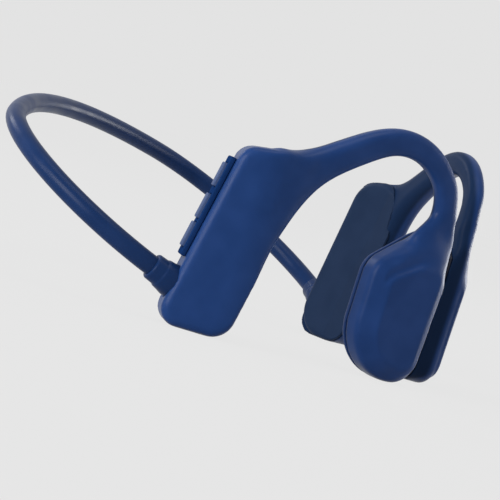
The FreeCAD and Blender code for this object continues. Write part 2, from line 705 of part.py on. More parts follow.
def socket_block(name, start, thick, grow):
    """A block on the charging seat's middle, larger than it by twice the growth."""
    low, rear = f"socket_at - socket_high / 2 - {grow}", f"{SOCKET_X} - socket_wide / 2 - {grow}"
    return block(name, lean_frame, rear, start, low, f"socket_wide + 2 * {grow}", thick, f"socket_high + 2 * {grow}")


socket_face = socket_block("socket_face", "shell_depth", "cover_thick - socket_sunk", "0")
socket_lip = socket_block("socket_lip", COVER_IN, "lip", "lip")
PIN_SPREAD = "socket_wide / 4"
pin_places = [f"{SOCKET_X} - {PIN_SPREAD}", f"{SOCKET_X} + {PIN_SPREAD}"]
PIN_START = f"{COVER_IN} - pin_head"
pins, pin_holes = [], []
for i, x in enumerate(pin_places):
    high = "pin_head + lip + cover_thick - pin_sunk"
    shank = disc(f"pin_shank_{i}", lean_frame, x, PIN_START, "socket_at", "pin_diam", high)
    shoulder = disc(f"pin_shoulder_{i}", lean_frame, x, PIN_START, "socket_at", "pin_diam + lip", "pin_head")
    pins.append(fuse(f"pin_{i}", shank, shoulder))
    pin_holes.append(
        disc(f"pin_hole_{i}", lean_frame, x, PIN_START, "socket_at", "pin_diam + fit_gap", "cover_thick + 2 * lip + 1")
    )
charge_socket = cut("charge_socket", fuse("socket_solid", socket_face, socket_lip), *pin_holes)
charge_pins = doc.addObject("Part::Compound", "charge_pins")
charge_pins.Links = pins
LIGHT_AT = "socket_at + socket_high / 2 + light_up"
light = fuse(
    "status_light",
    disc("light_stem", lean_frame, SOCKET_X, COVER_IN, LIGHT_AT, "light_diam", "cover_thick + lip - light_sunk"),
    disc("light_lip", lean_frame, SOCKET_X, COVER_IN, LIGHT_AT, "light_diam + 2 * lip", "lip"),
)
MIC_X, MIC_AT = "box_width - wall - mic_diam / 2 - 0.8", "board_foot - mic_diam / 2 - 1.5"
microphone = disc("microphone", lean_frame, MIC_X, "shell_depth - mic_high", MIC_AT, "mic_diam", "mic_high")
MESH_START = "shell_depth + cover_thick - mesh_deep"
mesh = disc("microphone_mesh", lean_frame, MIC_X, MESH_START, MIC_AT, "mic_diam / 2", "mesh_thick")
right_cover = cut(
    "right_box_cover",
    plain_cover,
    socket_block("socket_hole", "shell_depth", "cover_thick + 1", "fit_gap"),
    disc(
        "light_hole", lean_frame, SOCKET_X, "shell_depth - 1", LIGHT_AT, "light_diam + 2 * fit_gap", "cover_thick + 2"
    ),
    disc("mic_port", lean_frame, MIC_X, "shell_depth - 1", MIC_AT, "mic_diam / 5", "cover_thick + 2"),
    disc("mesh_seat", lean_frame, MIC_X, MESH_START, MIC_AT, "mic_diam / 2 + 2 * fit_gap", "1"),
)

# --- battery, in the left box: made here on the right and mirrored -------------------------------------
CELL_DEEP = "wall + pad_thick"
cell = block("cell_solid", lean_frame, "cell_rear", CELL_DEEP, "board_foot", "cell_wide", "cell_thick", "cell_high")
pad = common(
    "pad_solid",
    block(
        "pad_block", lean_frame, "cell_rear + 1", "wall / 2", "board_foot + 1",
        "cell_wide - 2", "pad_thick + wall / 2", "cell_high - 2",
    ),
    box_inside,
)
guard = block(
    "guard_solid", lean_frame, "cell_rear + 1", f"{CELL_DEEP} + guard_step", "board_foot + cell_high",
    "cell_wide - 2", "cell_thick - 2 * guard_step", "board_thick",
)

# --- driver pod -----------------------------------------------------------------------------------------
CAP_START = "pod_shell_depth + gasket_thick"
right_cap = plate("right_pod_cap", pod_frame, POD_OUTLINE, CAP_START, "cap_thick", POD_CORNERS, rim="cap_edge")
right_gasket = cut(
    "right_pod_gasket",
    plate("gasket_blank", pod_frame, POD_OUTLINE, "pod_shell_depth", "gasket_thick", POD_CORNERS),
    plate("gasket_inside", pod_frame, POD_INSIDE, "pod_shell_depth - 1", "gasket_thick + 2", POD_INSIDE_CORNERS),
)
PLATE_START = f"{CAP_START} - plate_thick"
COIL_START = f"{PLATE_START} - coil_high"
MAGNET_START = f"{PLATE_START} - driver_gap - magnet_high"
YOKE_START = f"{MAGNET_START} - yoke_wall"


def driver_disc(name, start, diameter, high):
    """A disc on the driver's axis."""
    return disc(name, pod_frame, "0", start, "driver_height", diameter, high)


right_plate = driver_disc("right_driver_plate", PLATE_START, "yoke_diam", "plate_thick")
right_coil = cut(
    "right_driver_coil",
    driver_disc("coil_outer", COIL_START, "coil_diam", "coil_high"),
    driver_disc("coil_hole", f"{COIL_START} - 1", "coil_diam - 2 * coil_wall", "coil_high + 2"),
)
right_magnet = driver_disc("right_driver_magnet", MAGNET_START, "magnet_diam", "magnet_high")
SPRING_FREE = "wall + spring_rim + hub_gap"  # what the yoke's hub leaves for its stroke
right_yoke = cut(
    "right_driver_yoke",
    fuse(
        "yoke_solid",
        driver_disc("yoke_outer", YOKE_START, "yoke_diam", "yoke_high"),
        driver_disc(
            "yoke_hub", SPRING_FREE, "magnet_diam - 2 * yoke_wall", f"{YOKE_START} - ({SPRING_FREE}) + yoke_wall / 2"
        ),
    ),
    driver_disc("yoke_hole", MAGNET_START, "yoke_diam - 2 * yoke_wall", "yoke_high"),
)
spring_rim = cut(
    "spring_rim_ring",
    driver_disc("rim_outer", "wall", "driver_diam", "spring_rim"),
    driver_disc("rim_hole", "wall - 1", "driver_diam - spring_ring", "spring_rim + 2"),
)
spring_web = driver_disc("spring_web", "wall + spring_rim - spring_thick", "driver_diam - 1", "spring_thick")
SPRING_START = "wall + spring_rim - spring_thick - 1"
spring_slots = []
for side in ("0", "90", "180", "270"):
    long = "driver_diam / 2 - slot_start - slot_stop"
    slot = block(f"spring_slot_{side}", pod_frame, "0", "0", "0", "yoke_wall", "2 * spring_rim", long)
    off = "placement(vector(slot_off; 0; slot_start); rotation(0; 0; 0))"
    seat(slot, pod_frame, "0", "wall", "driver_height", f"rotation(vector(0; 1; 0); {side}) * {off}")
    spring_slots.append(slot)
right_spring = cut("right_driver_spring", fuse("spring_solid", spring_rim, spring_web), *spring_slots)
right_wire = feature("right_hook_wire", hook_rod(WIRE_DEEP, size("hook_wire_diam")))
right_leads = feature("right_driver_leads", hook_rod(LEAD_DEEP, size("lead_diam")))

# --- neckband --------------------------------------------------------------------------------------------
doc.recompute()


def band_route(inner, gap, offset, whole=False):
    """Middle line of a band piece: tail inside the box, collar run, side arc, back arc.

    inner: how far it starts inside the box; gap: parting at the back; offset: square to the band.
    """
    side, back = size("band_side_round"), size("band_back_round")
    place = band_frame.Placement
    leave = exit_frame.Placement
    exit_at = place.inverse().multVec(leave.Base)
    out = place.inverse().Rotation.multVec(leave.Rotation.multVec(Vector(1, 0, 0)))
    middle_y = size("band_half_width") - side
    start = exit_at + out * size("collar_out")
    middle_x = start.x + side * out.y
    turn = math.asin(middle_y / (back - side))
    back_x = middle_x - (back - side) * math.cos(turn)

    def on(x, radius, y, angle):
        return Vector(x + radius * math.cos(angle), y + radius * math.sin(angle), 0)

    first = math.atan2(start.y - middle_y, start.x - middle_x)
    points = [exit_at - out * inner, start, on(middle_x, side, middle_y, (first + turn) / 2), on(back_x, back, 0, turn)]
    lift = Vector(0, 0, offset)
    flip = lambda v: Vector(v.x, -v.y, v.z)
    world = lambda v: place.multVec(v + lift)
    edges = [
        Part.LineSegment(world(points[0]), world(points[1])).toShape(),
        Part.Arc(world(points[1]), world(points[2]), world(points[3])).toShape(),
    ]
    if not whole:
        end = math.asin(gap / 2 / back)
        last = on(back_x, back, 0, (turn + end) / 2), on(back_x, back, 0, end)
        edges.append(Part.Arc(world(points[3]), world(last[0]), world(last[1])).toShape())
    else:
        apex = on(back_x, back, 0, 0)
        edges.append(Part.Arc(world(points[3]), world(apex), world(flip(points[3]))).toShape())
        edges.append(Part.Arc(world(flip(points[3])), world(flip(points[2])), world(flip(points[1]))).toShape())
        edges.append(Part.LineSegment(world(flip(points[1])), world(flip(points[0]))).toShape())
    return Part.Wire(edges)


sleeve_route = band_route(size("collar_in"), size("flex_gap"), 0)
right_sleeve = feature(
    "neckband_sleeve_right", rod_along(sleeve_route, size("band_diam")).cut(rod_along(sleeve_route, size("band_bore")))
)
tail = size("wire_tail")
wire_offset = -(size("band_bore") - size("wire_diam")) / 2 + size("fit_gap")
cable_offset = (size("band_bore") - size("cable_diam")) / 2 - size("fit_gap")
band_wire = feature("neckband_wire", rod_along(band_route(tail, 0, wire_offset, True), size("wire_diam")))
band_cable = feature("neckband_cable", rod_along(band_route(tail, 0, cable_offset, True), size("cable_diam")))

# --- the left side mirrors the right -----------------------------------------------------------------------


def mirrored(label, source):
    """The left twin of a piece."""
    twin = doc.addObject("Part::Mirroring", label)
    twin.Source = source
    twin.Normal = Vector(0, 1, 0)
    return twin


pieces = {
    "right_arm_shell": right_shell,
    "right_box_cover": right_cover,
    "right_band_collar": right_collar,
    "button_bezel": bezel,
    "button_membrane": membrane,
    "button_switches": switches,
    "main_board": main_board,
    "board_screws": board_screws,
    "charge_socket": charge_socket,
    "charge_pins": charge_pins,
    "status_light": light,
    "microphone": microphone,
    "microphone_mesh": mesh,
    "neckband_sleeve_right": right_sleeve,
    "neckband_wire": band_wire,
    "neckband_cable": band_cable,
    "left_arm_shell": mirrored("left_arm_shell", plain_shell),
    "left_box_cover": mirrored("left_box_cover", plain_cover),
    "left_band_collar": mirrored("left_band_collar", right_collar),
    "neckband_sleeve_left": mirrored("neckband_sleeve_left", right_sleeve),
    "battery_cell": mirrored("battery_cell", cell),
    "battery_pad": mirrored("battery_pad", pad),
    "battery_board": mirrored("battery_board", guard),
}
for (label, at, long), key in zip(KEYS, keys):
    pieces[label] = key
TWINS = {
    "pod_cap": right_cap,
    "pod_gasket": right_gasket,
    "hook_wire": right_wire,
    "driver_leads": right_leads,
    "driver_yoke": right_yoke,
    "driver_magnet": right_magnet,
    "driver_plate": right_plate,
    "driver_coil": right_coil,
    "driver_spring": right_spring,
}
for name, source in TWINS.items():
    pieces["right_" + name] = source
    pieces["left_" + name] = mirrored("left_" + name, source)
doc.recompute()

# --- check and write -------------------------------------------------------------------------------------------
for item in doc.Objects:
    if {"Invalid", "Error"} & set(item.State):
        raise RuntimeError(f"{item.Name} failed: {item.State}")
os.makedirs("parts", exist_ok=True)
box = FreeCAD.BoundBox()
for label, item in pieces.items():
    item.Label = label
    if item.Shape.isNull() or not item.Shape.isValid():
        raise RuntimeError(f"{label} has no valid shape")
    item.Shape.exportStep(f"parts/{label}.step")
    box.add(item.Shape.optimalBoundingBox(False))
    print(f"{label:24s} {len(item.Shape.Solids)} solid(s) {item.Shape.Volume:10.2f} mm3")
print(f"{len(pieces)} pieces, box {box}")
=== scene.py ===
"""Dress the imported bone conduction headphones: skins, covers, keys, neckband, finishes and studio.

Every length in the plans below is in millimetres and turns into metres where a mesh is made.
The right side lies at negative Y and the left side is its mirror image.
"""

from __future__ import annotations

import logging
import math
from dataclasses import dataclass, field
from enum import Enum
from typing import Callable, Optional, Sequence

import bmesh
import bpy
import numpy as np
from mathutils import Matrix, Vector

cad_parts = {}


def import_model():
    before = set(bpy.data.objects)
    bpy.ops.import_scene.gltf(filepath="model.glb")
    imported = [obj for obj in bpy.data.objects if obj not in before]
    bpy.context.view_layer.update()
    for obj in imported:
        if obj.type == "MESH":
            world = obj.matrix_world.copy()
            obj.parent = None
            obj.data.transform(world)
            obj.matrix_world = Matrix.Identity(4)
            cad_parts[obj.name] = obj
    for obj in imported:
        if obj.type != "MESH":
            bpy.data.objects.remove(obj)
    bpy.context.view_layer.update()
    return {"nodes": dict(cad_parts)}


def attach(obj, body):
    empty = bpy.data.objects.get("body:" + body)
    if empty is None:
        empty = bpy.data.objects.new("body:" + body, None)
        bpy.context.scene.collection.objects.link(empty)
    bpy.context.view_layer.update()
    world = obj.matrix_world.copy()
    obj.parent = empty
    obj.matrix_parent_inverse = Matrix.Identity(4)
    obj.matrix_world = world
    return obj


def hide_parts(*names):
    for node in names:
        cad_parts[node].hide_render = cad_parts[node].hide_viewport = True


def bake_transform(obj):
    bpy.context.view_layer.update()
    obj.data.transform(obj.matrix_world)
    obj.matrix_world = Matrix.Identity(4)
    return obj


MM = 0.001
INNER_TONE_AND_SHADE = "inner_tone_and_shade"
COAT_ROUGH = 0.25
NOISE_MIDDLE = (0.35, 0.65)
MERGE_DISTANCE = 2e-6
log = logging.getLogger("headphones")

Colour = tuple[float, float, float]
Socket = bpy.types.NodeSocket
Tree = bpy.types.NodeTree
Shape = Callable[[np.ndarray], np.ndarray]


class Side(Enum):
    """The two units, by the sign of their Y."""

    RIGHT = -1
    LEFT = 1

    @property
    def label(self) -> str:
        """The side's name as the nodes have it."""
        return self.name.lower()

    @property
    def body(self) -> str:
        """The body that the unit rides on."""
        return f"{self.label}_half"


# --- finishes ---------------------------------------------------------------------------------------


class FinishKind(Enum):
    """How a surface answers light: its share of metal, and of light let through."""

    PLAIN = (0.0, 0.0)
    METAL = (1.0, 0.0)
    CLEAR = (0.0, 0.35)


@dataclass(frozen=True)
class Finish:
    """One procedural material.

    Grain is the size of its surface grain and mottle that of its slow variation, both in
    millimetres. Relief is the height of the grain in micrometres. Gloss scales its mirror-like
    share. Inner is the colour that a mesh's tone puts on the faces turned to the head, and where
    the tone asks for it also painted shade. Those faces are duller by inner_dull.
    """

    name: str
    kind: FinishKind
    colour: Colour
    rough: float = 0.45
    rough_spread: float = 0.05
    grain: float = 0.22
    relief: float = 6.0
    mottle: float = 7.0
    shift: float = 0.06
    lift: float = 0.002
    gloss: float = 0.3
    inner: Optional[Colour] = None
    inner_dull: float = 0.3
    coat: float = 0.0

    def material(self) -> bpy.types.Material:
        """Build the material, or find the one already built.

        Returns:
            The material of this finish.
        """
        known = bpy.data.materials.get(self.name)
        if known:
            return known
        made = bpy.data.materials.new(self.name)
        made.use_nodes = True
        tree = made.node_tree
        shader = tree.nodes["Principled BSDF"]
        place = tree.nodes.new("ShaderNodeTexCoord").outputs["Object"]
        slow = self._noise(tree, place, self.mottle, 2.0)
        fine = self._noise(tree, place, self.grain, 3.0)
        metal, clear = self.kind.value
        for label, value in (
            ("Metallic", metal),
            ("Transmission Weight", clear),
            ("Specular IOR Level", self.gloss),
            ("Coat Weight", self.coat),
            ("Coat Roughness", COAT_ROUGH),
        ):
            shader.inputs[label].default_value = value
        self._colour(tree, shader, slow)
        if self.inner:
            self._inner(tree, shader)
        low, high = self.rough - self.rough_spread, self.rough + self.rough_spread
        tree.links.new(self._ramp(tree, slow, low, high), shader.inputs["Roughness"])
        self._relief(tree, shader, fine)
        return made

    def _noise(self, tree: Tree, place: Socket, period: float, detail: float) -> Socket:
        """Lay a noise over the surface.

        Args:
            tree: the material's nodes.
            place: the point to sample.
            period: its period in millimetres.
            detail: how many octaves it has.

        Returns:
            The noise's value.
        """
        node = tree.nodes.new("ShaderNodeTexNoise")
        tree.links.new(place, node.inputs["Vector"])
        node.inputs["Scale"].default_value = 1.0 / (period * MM)
        node.inputs["Detail"].default_value = detail
        return node.outputs["Fac"]

    def _ramp(self, tree: Tree, source: Socket, low: float, high: float) -> Socket:
        """Map a noise's middle range.

        Args:
            tree: the material's nodes.
            source: the noise.
            low: what its lower end becomes.
            high: what its upper end becomes.

        Returns:
            The mapped value.
        """
        node = tree.nodes.new("ShaderNodeMapRange")
        tree.links.new(source, node.inputs["Value"])
        labels = ("From Min", "From Max", "To Min", "To Max")
        for label, value in zip(labels, (*NOISE_MIDDLE, low, high)):
            node.inputs[label].default_value = value
        return node.outputs["Result"]

    def _colour(self, tree: Tree, shader: bpy.types.Node, slow: Socket) -> None:
        """Vary the colour a little over the surface.

        Args:
            tree: the material's nodes.
            shader: the surface shader.
            slow: the slow noise.
        """
        mix = tree.nodes.new("ShaderNodeMix")
        mix.data_type = "RGBA"
        dark = [c * (1 - self.shift) for c in self.colour]
        light = [min(1.0, c * (1 + self.shift) + self.lift) for c in self.colour]
        mix.inputs["A"].default_value = (*dark, 1)
        mix.inputs["B"].default_value = (*light, 1)
        tree.links.new(self._ramp(tree, slow, 0.0, 1.0), mix.inputs["Factor"])
        tree.links.new(mix.outputs["Result"], shader.inputs["Base Color"])

    def _inner(self, tree: Tree, shader: bpy.types.Node) -> None:
        """Turn to the inner colour, and duller, where the mesh says so.

        Args:
            tree: the material's nodes.
            shader: the surface shader, with its outer colour linked.
        """
        tone = tree.nodes.new("ShaderNodeAttribute")
        tone.attribute_name = INNER_TONE_AND_SHADE
        both = tree.nodes.new("ShaderNodeMix")
        both.data_type = "RGBA"
        outer = shader.inputs["Base Color"].links[0].from_socket
        tree.links.new(tone.outputs["Fac"], both.inputs["Factor"])
        tree.links.new(outer, both.inputs["A"])
        both.inputs["B"].default_value = (*self.inner, 1)
        tree.links.new(both.outputs["Result"], shader.inputs["Base Color"])
        dull = tree.nodes.new("ShaderNodeMapRange")
        tree.links.new(tone.outputs["Fac"], dull.inputs["Value"])
        dull.inputs["To Min"].default_value = self.gloss
        dull.inputs["To Max"].default_value = self.gloss * self.inner_dull
        tree.links.new(dull.outputs["Result"], shader.inputs["Specular IOR Level"])

    def _relief(self, tree: Tree, shader: bpy.types.Node, fine: Socket) -> None:
        """Raise the grain.

        Args:
            tree: the material's nodes.
            shader: the surface shader.
            fine: the grain's noise.
        """
        bump = tree.nodes.new("ShaderNodeBump")
        bump.inputs["Strength"].default_value = 1.0
        bump.inputs["Distance"].default_value = self.relief * 1e-6
        tree.links.new(fine, bump.inputs["Height"])
        tree.links.new(bump.outputs["Normal"], shader.inputs["Normal"])


# inner colour: the slate of the faces turned to the head, also used as painted shade on the pods' front side
# walls
SOFT_SHELL = Finish(
    "soft_touch_shell", FinishKind.PLAIN, (0.0088, 0.0365, 0.1420), rough=0.36, relief=3.0, gloss=0.11,
    inner=(0.0070, 0.0190, 0.0540),
)
INNER_COVER = Finish(
    "inner_cover_slate", FinishKind.PLAIN, (0.0068, 0.0190, 0.0520), rough=0.5, relief=6.0, gloss=0.08
)
CONTACT_PAD = Finish(
    "contact_silicone", FinishKind.PLAIN, (0.0080, 0.0320, 0.1240), rough=0.5, grain=0.12, gloss=0.12,
    inner=(0.0050, 0.0110, 0.0270),
)
BAND_SKIN = Finish(
    "neckband_silicone", FinishKind.PLAIN, (0.0060, 0.0230, 0.0850), rough=0.33, grain=0.3, relief=1.5, gloss=0.08
)
KEY_CAP = Finish("key_cap", FinishKind.PLAIN, (0.0070, 0.0300, 0.1150), rough=0.55, gloss=0.0)
KEY_STRIP = Finish("key_strip", FinishKind.PLAIN, (0.0065, 0.0270, 0.1040), rough=0.5, gloss=0.0)
TRIM = Finish("dark_trim", FinishKind.PLAIN, (0.0090, 0.0230, 0.0720), rough=0.45)
SEAL = Finish("seal_rubber", FinishKind.PLAIN, (0.0100, 0.0130, 0.0260), rough=0.6)
STEEL = Finish("spring_steel", FinishKind.METAL, (0.56, 0.57, 0.58), rough=0.3, shift=0.03)
NICKEL = Finish("nickel_plating", FinishKind.METAL, (0.66, 0.64, 0.60), rough=0.18, shift=0.02)
IRON = Finish("yoke_iron", FinishKind.METAL, (0.40, 0.40, 0.41), rough=0.35)
COPPER = Finish("enamelled_copper", FinishKind.METAL, (0.72, 0.32, 0.14), rough=0.3, grain=0.1, relief=12.0)
GILT = Finish("gold_plating", FinishKind.METAL, (0.83, 0.60, 0.24), rough=0.2, shift=0.02)
BOARD = Finish("solder_mask", FinishKind.PLAIN, (0.02, 0.13, 0.06), rough=0.35, coat=0.3)
FOIL = Finish("cell_foil", FinishKind.METAL, (0.60, 0.61, 0.63), rough=0.4, grain=0.6, relief=20.0)
FOAM = Finish("foam_pad", FinishKind.PLAIN, (0.05, 0.05, 0.055), rough=0.9, grain=0.4, relief=60.0)
LENS = Finish("light_guide", FinishKind.CLEAR, (0.55, 0.60, 0.66), rough=0.25)
LEAD = Finish("lead_insulation", FinishKind.PLAIN, (0.22, 0.02, 0.02), rough=0.45)

NODE_FINISH: dict[Finish, tuple[str, ...]] = {
    SEAL: ("button_membrane",),
    STEEL: ("right_hook_wire", "left_hook_wire", "right_driver_spring", "left_driver_spring"),
    IRON: ("right_driver_yoke", "left_driver_yoke", "microphone", "board_screws"),
    NICKEL: ("right_driver_magnet", "left_driver_magnet"),
    TRIM: ("right_driver_plate", "left_driver_plate", "charge_socket", "microphone_mesh"),
    COPPER: ("right_driver_coil", "left_driver_coil"),
    LEAD: ("right_driver_leads", "left_driver_leads"),
    BOARD: ("main_board", "button_switches", "battery_board"),
    GILT: ("charge_pins",),
    LENS: ("status_light",),
    FOIL: ("battery_cell",),
    FOAM: ("battery_pad",),
}


# --- plans ------------------------------------------------------------------------------------------


@dataclass(frozen=True)
class ArmPlan:
    """Where the box, the hook and the pod stand in plan."""

    rear_x: float = 8.1793
    half_gap: float = 60.56
    box_toe: float = math.radians(28.0)
    pod_toe: float = math.radians(53.0)
    corner_run: float = 15.75
    pod_run: float = 44.5
    pod_proud: float = 0.6

    @property
    def corner(self) -> Vector:
        """The corner between box face and hook face."""
        return self.along_box(self.corner_run)

    def along_box(self, run: float, deep: float = 0.0, high: float = 0.0) -> Vector:
        """A point by its run along the box, its depth under the outer face and its height."""
        c, s = math.cos(self.box_toe), math.sin(self.box_toe)
        return Vector((self.rear_x + run * c - deep * s, -self.half_gap + run * s + deep * c, high))

    def box_axes(self) -> tuple[Vector, Vector, Vector]:
        """The box's origin, its direction to the front and its direction inward."""
        origin = self.along_box(0.0)
        return origin, self.along_box(1.0) - origin, self.along_box(0.0, 1.0) - origin

    def pod_axes(self) -> tuple[Vector, Vector, Vector]:
        """The corner, the hook's direction to the front and its direction inward."""
        origin = self.along_pod(0.0)
        return origin, self.along_pod(1.0) - origin, self.along_pod(0.0, 1.0) - origin

    def along_pod(self, run: float, deep: float = 0.0, high: float = 0.0) -> Vector:
        """A point by its run from the corner, its depth under the hook's face and its height."""
        c, s = math.cos(self.pod_toe), math.sin(self.pod_toe)
        return self.corner + Vector((run * c - deep * s, run * s + deep * c, high))


@dataclass(frozen=True)
class BandPlan:
    """The neckband's middle line: collar run, side arc, back arc and back again."""

    arm: ArmPlan = ArmPlan()
    rise: float = math.radians(24.9)
    half_width: float = 65.6
    side_round: float = 35.0
    back_round: float = 111.0
    exit_high: float = 9.1
    box_lean: float = math.radians(10.6)
    shell_depth: float = 8.4
    collar_out: float = 5.6
    sleeve_diam: float = 4.5

    @property
    def exit_point(self) -> Vector:
        """Where the right end leaves the box."""
        return self.arm.along_box(self.exit_high * math.tan(self.box_lean), self.shell_depth / 2, self.exit_high)

    @property
    def axes(self) -> tuple[Vector, Vector, Vector]:
        """The band plane's directions.

        Returns:
            Rearward, rightward and square to the plane.
        """
        back = Vector((-math.cos(self.rise), 0, math.sin(self.rise)))
        right = Vector((0, -1, 0))
        return back, right, back.cross(right)

    @property
    def leave(self) -> float:
        """How far the band turns outward where it leaves the box.

        Returns:
            The angle from straight back.
        """
        middle = self.half_width - self.side_round
        side = -self.exit_point.y
        reach = math.hypot(self.side_round, self.collar_out)
        return math.acos((side - middle) / reach) - math.atan(self.collar_out / self.side_round)

    @property
    def exit_heading(self) -> Vector:
        """The right end's direction out of the box."""
        back, right, _ = self.axes
        return back * math.cos(self.leave) + right * math.sin(self.leave)

    def line(self, inner: float, lift: float = 0.0, step: float = 0.8) -> list[Vector]:
        """Points along the whole band, from right to left.

        Args:
            inner: how far it starts inside the box.
            lift: offset square to the band's plane.
            step: spacing along the arcs.

        Returns:
            The points in millimetres.
        """
        middle = self.half_width - self.side_round
        side = -self.exit_point.y
        heading = Vector((math.cos(self.leave), math.sin(self.leave)))
        start = Vector((0.0, side)) + heading * self.collar_out
        centre = Vector((start.x + self.side_round * heading.y, middle))
        turn = math.asin(middle / (self.back_round - self.side_round))
        rear_centre = centre.x - (self.back_round - self.side_round) * math.cos(turn)
        flat = [Vector((0.0, side)) - heading * inner]
        first = math.atan2(start.y - centre.y, start.x - centre.x)
        count = int(self.side_round * (first - turn) / step)
        for i in range(count):
            angle = first + (turn - first) * i / count
            flat.append(centre + Vector((math.cos(angle), math.sin(angle))) * self.side_round)
        count = int(self.back_round * turn / step)
        for i in range(count + 1):
            angle = turn * (1 - i / count)
            flat.append(Vector((rear_centre, 0.0)) + Vector((math.cos(angle), math.sin(angle))) * self.back_round)
        flat += [Vector((p.x, -p.y)) for p in reversed(flat[:-1])]
        back, right, square = self.axes
        base = Vector((self.exit_point.x, 0, self.exit_point.z))
        return [base + back * p.x + right * p.y + square * lift for p in flat]


# --- mesh helpers -------------------------------------------------------------------------------------


def linked(name: str, mesh: bpy.types.Mesh, finish: Finish) -> bpy.types.Object:
    """Put a mesh into the scene with one finish.

    Args:
        name: the object's name.
        mesh: its mesh, already in place.
        finish: its finish.

    Returns:
        The object, at the origin.
    """
    mesh.materials.clear()
    mesh.materials.append(finish.material())
    piece = bpy.data.objects.new(name, mesh)
    bpy.context.scene.collection.objects.link(piece)
    return piece


def settled(piece: bpy.types.Object) -> bpy.types.Object:
    """Apply an object's modifiers by hand.

    Args:
        piece: an object at the origin.

    Returns:
        The same object with a plain mesh and no modifiers.
    """
    graph = bpy.context.evaluated_depsgraph_get()
    mesh = bpy.data.meshes.new_from_object(piece.evaluated_get(graph))
    finish = list(piece.data.materials)
    piece.modifiers.clear()
    old = piece.data
    if piece.type != "MESH":
        name, body = piece.name, bpy.data.objects.new("settled", mesh)
        bpy.context.scene.collection.objects.link(body)
        bpy.data.objects.remove(piece)
        body.name = name
        piece = body
    else:
        piece.data = mesh
        bpy.data.meshes.remove(old)
    if not mesh.materials:
        for slot in finish:
            mesh.materials.append(slot)
    return piece


def merged_copy(node: bpy.types.Object) -> bpy.types.Mesh:
    """Copy a CAD node's mesh and join its loose triangles.

    Args:
        node: the CAD node's object.

    Returns:
        The new mesh.
    """
    work = bmesh.new()
    work.from_mesh(node.data)
    bmesh.ops.remove_doubles(work, verts=work.verts, dist=MERGE_DISTANCE)
    mesh = bpy.data.meshes.new(node.name + "_merged")
    work.to_mesh(mesh)
    work.free()
    return mesh


def points_of(mesh: bpy.types.Mesh) -> np.ndarray:
    """Read a mesh's points.

    Args:
        mesh: the mesh.

    Returns:
        One row of three numbers for each point.
    """
    flat = np.empty(len(mesh.vertices) * 3, np.float64)
    mesh.vertices.foreach_get("co", flat)
    return flat.reshape(-1, 3)


def relax(mesh: bpy.types.Mesh, passes: int, pull: np.ndarray | float, keep_volume: bool) -> None:
    """Even out a mesh in place.

    Args:
        mesh: the mesh.
        passes: how many times.
        pull: share of the way to the neighbours' mean, one number or one for each point.
        keep_volume: follow each pass with a push back out.
    """
    edges = np.empty(len(mesh.edges) * 2, np.int64)
    mesh.edges.foreach_get("vertices", edges)
    a, b = edges.reshape(-1, 2).T
    count = len(mesh.vertices)
    valence = np.bincount(a, minlength=count) + np.bincount(b, minlength=count)
    valence = np.maximum(valence, 1)[:, None]
    place = points_of(mesh)
    weight = np.broadcast_to(np.asarray(pull, float).reshape(-1, 1), (count, 1))
    for _ in range(passes):
        for share in (1.0, -1.04) if keep_volume else (1.0,):
            total = np.empty_like(place)
            for axis in range(3):
                total[:, axis] = np.bincount(a, place[b, axis], count) + np.bincount(b, place[a, axis], count)
            place = place + (total / valence - place) * weight * share
    mesh.vertices.foreach_set("co", place.ravel())
    mesh.update()


def smooth_shade(mesh: bpy.types.Mesh) -> None:
    """Shade every face smooth."""
    mesh.polygons.foreach_set("use_smooth", [True] * len(mesh.polygons))


def eased(share: np.ndarray) -> np.ndarray:
    """Ease a share in and out between 0 and 1."""
    share = np.clip(share, 0, 1)
    return share * share * (3 - 2 * share)


def stand_in(piece: bpy.types.Object, body: str, slot: str, *names: str) -> None:
    """Let a piece ride on a body and stand for CAD nodes.

    Args:
        piece: the piece.
        body: the body that it rides on.
        slot: the name of its finish slot; not used.
        names: the nodes that it stands for.
    """
    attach(piece, body)
    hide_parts(*names)
    log.info("%s: %d faces", piece.name, len(piece.data.polygons))


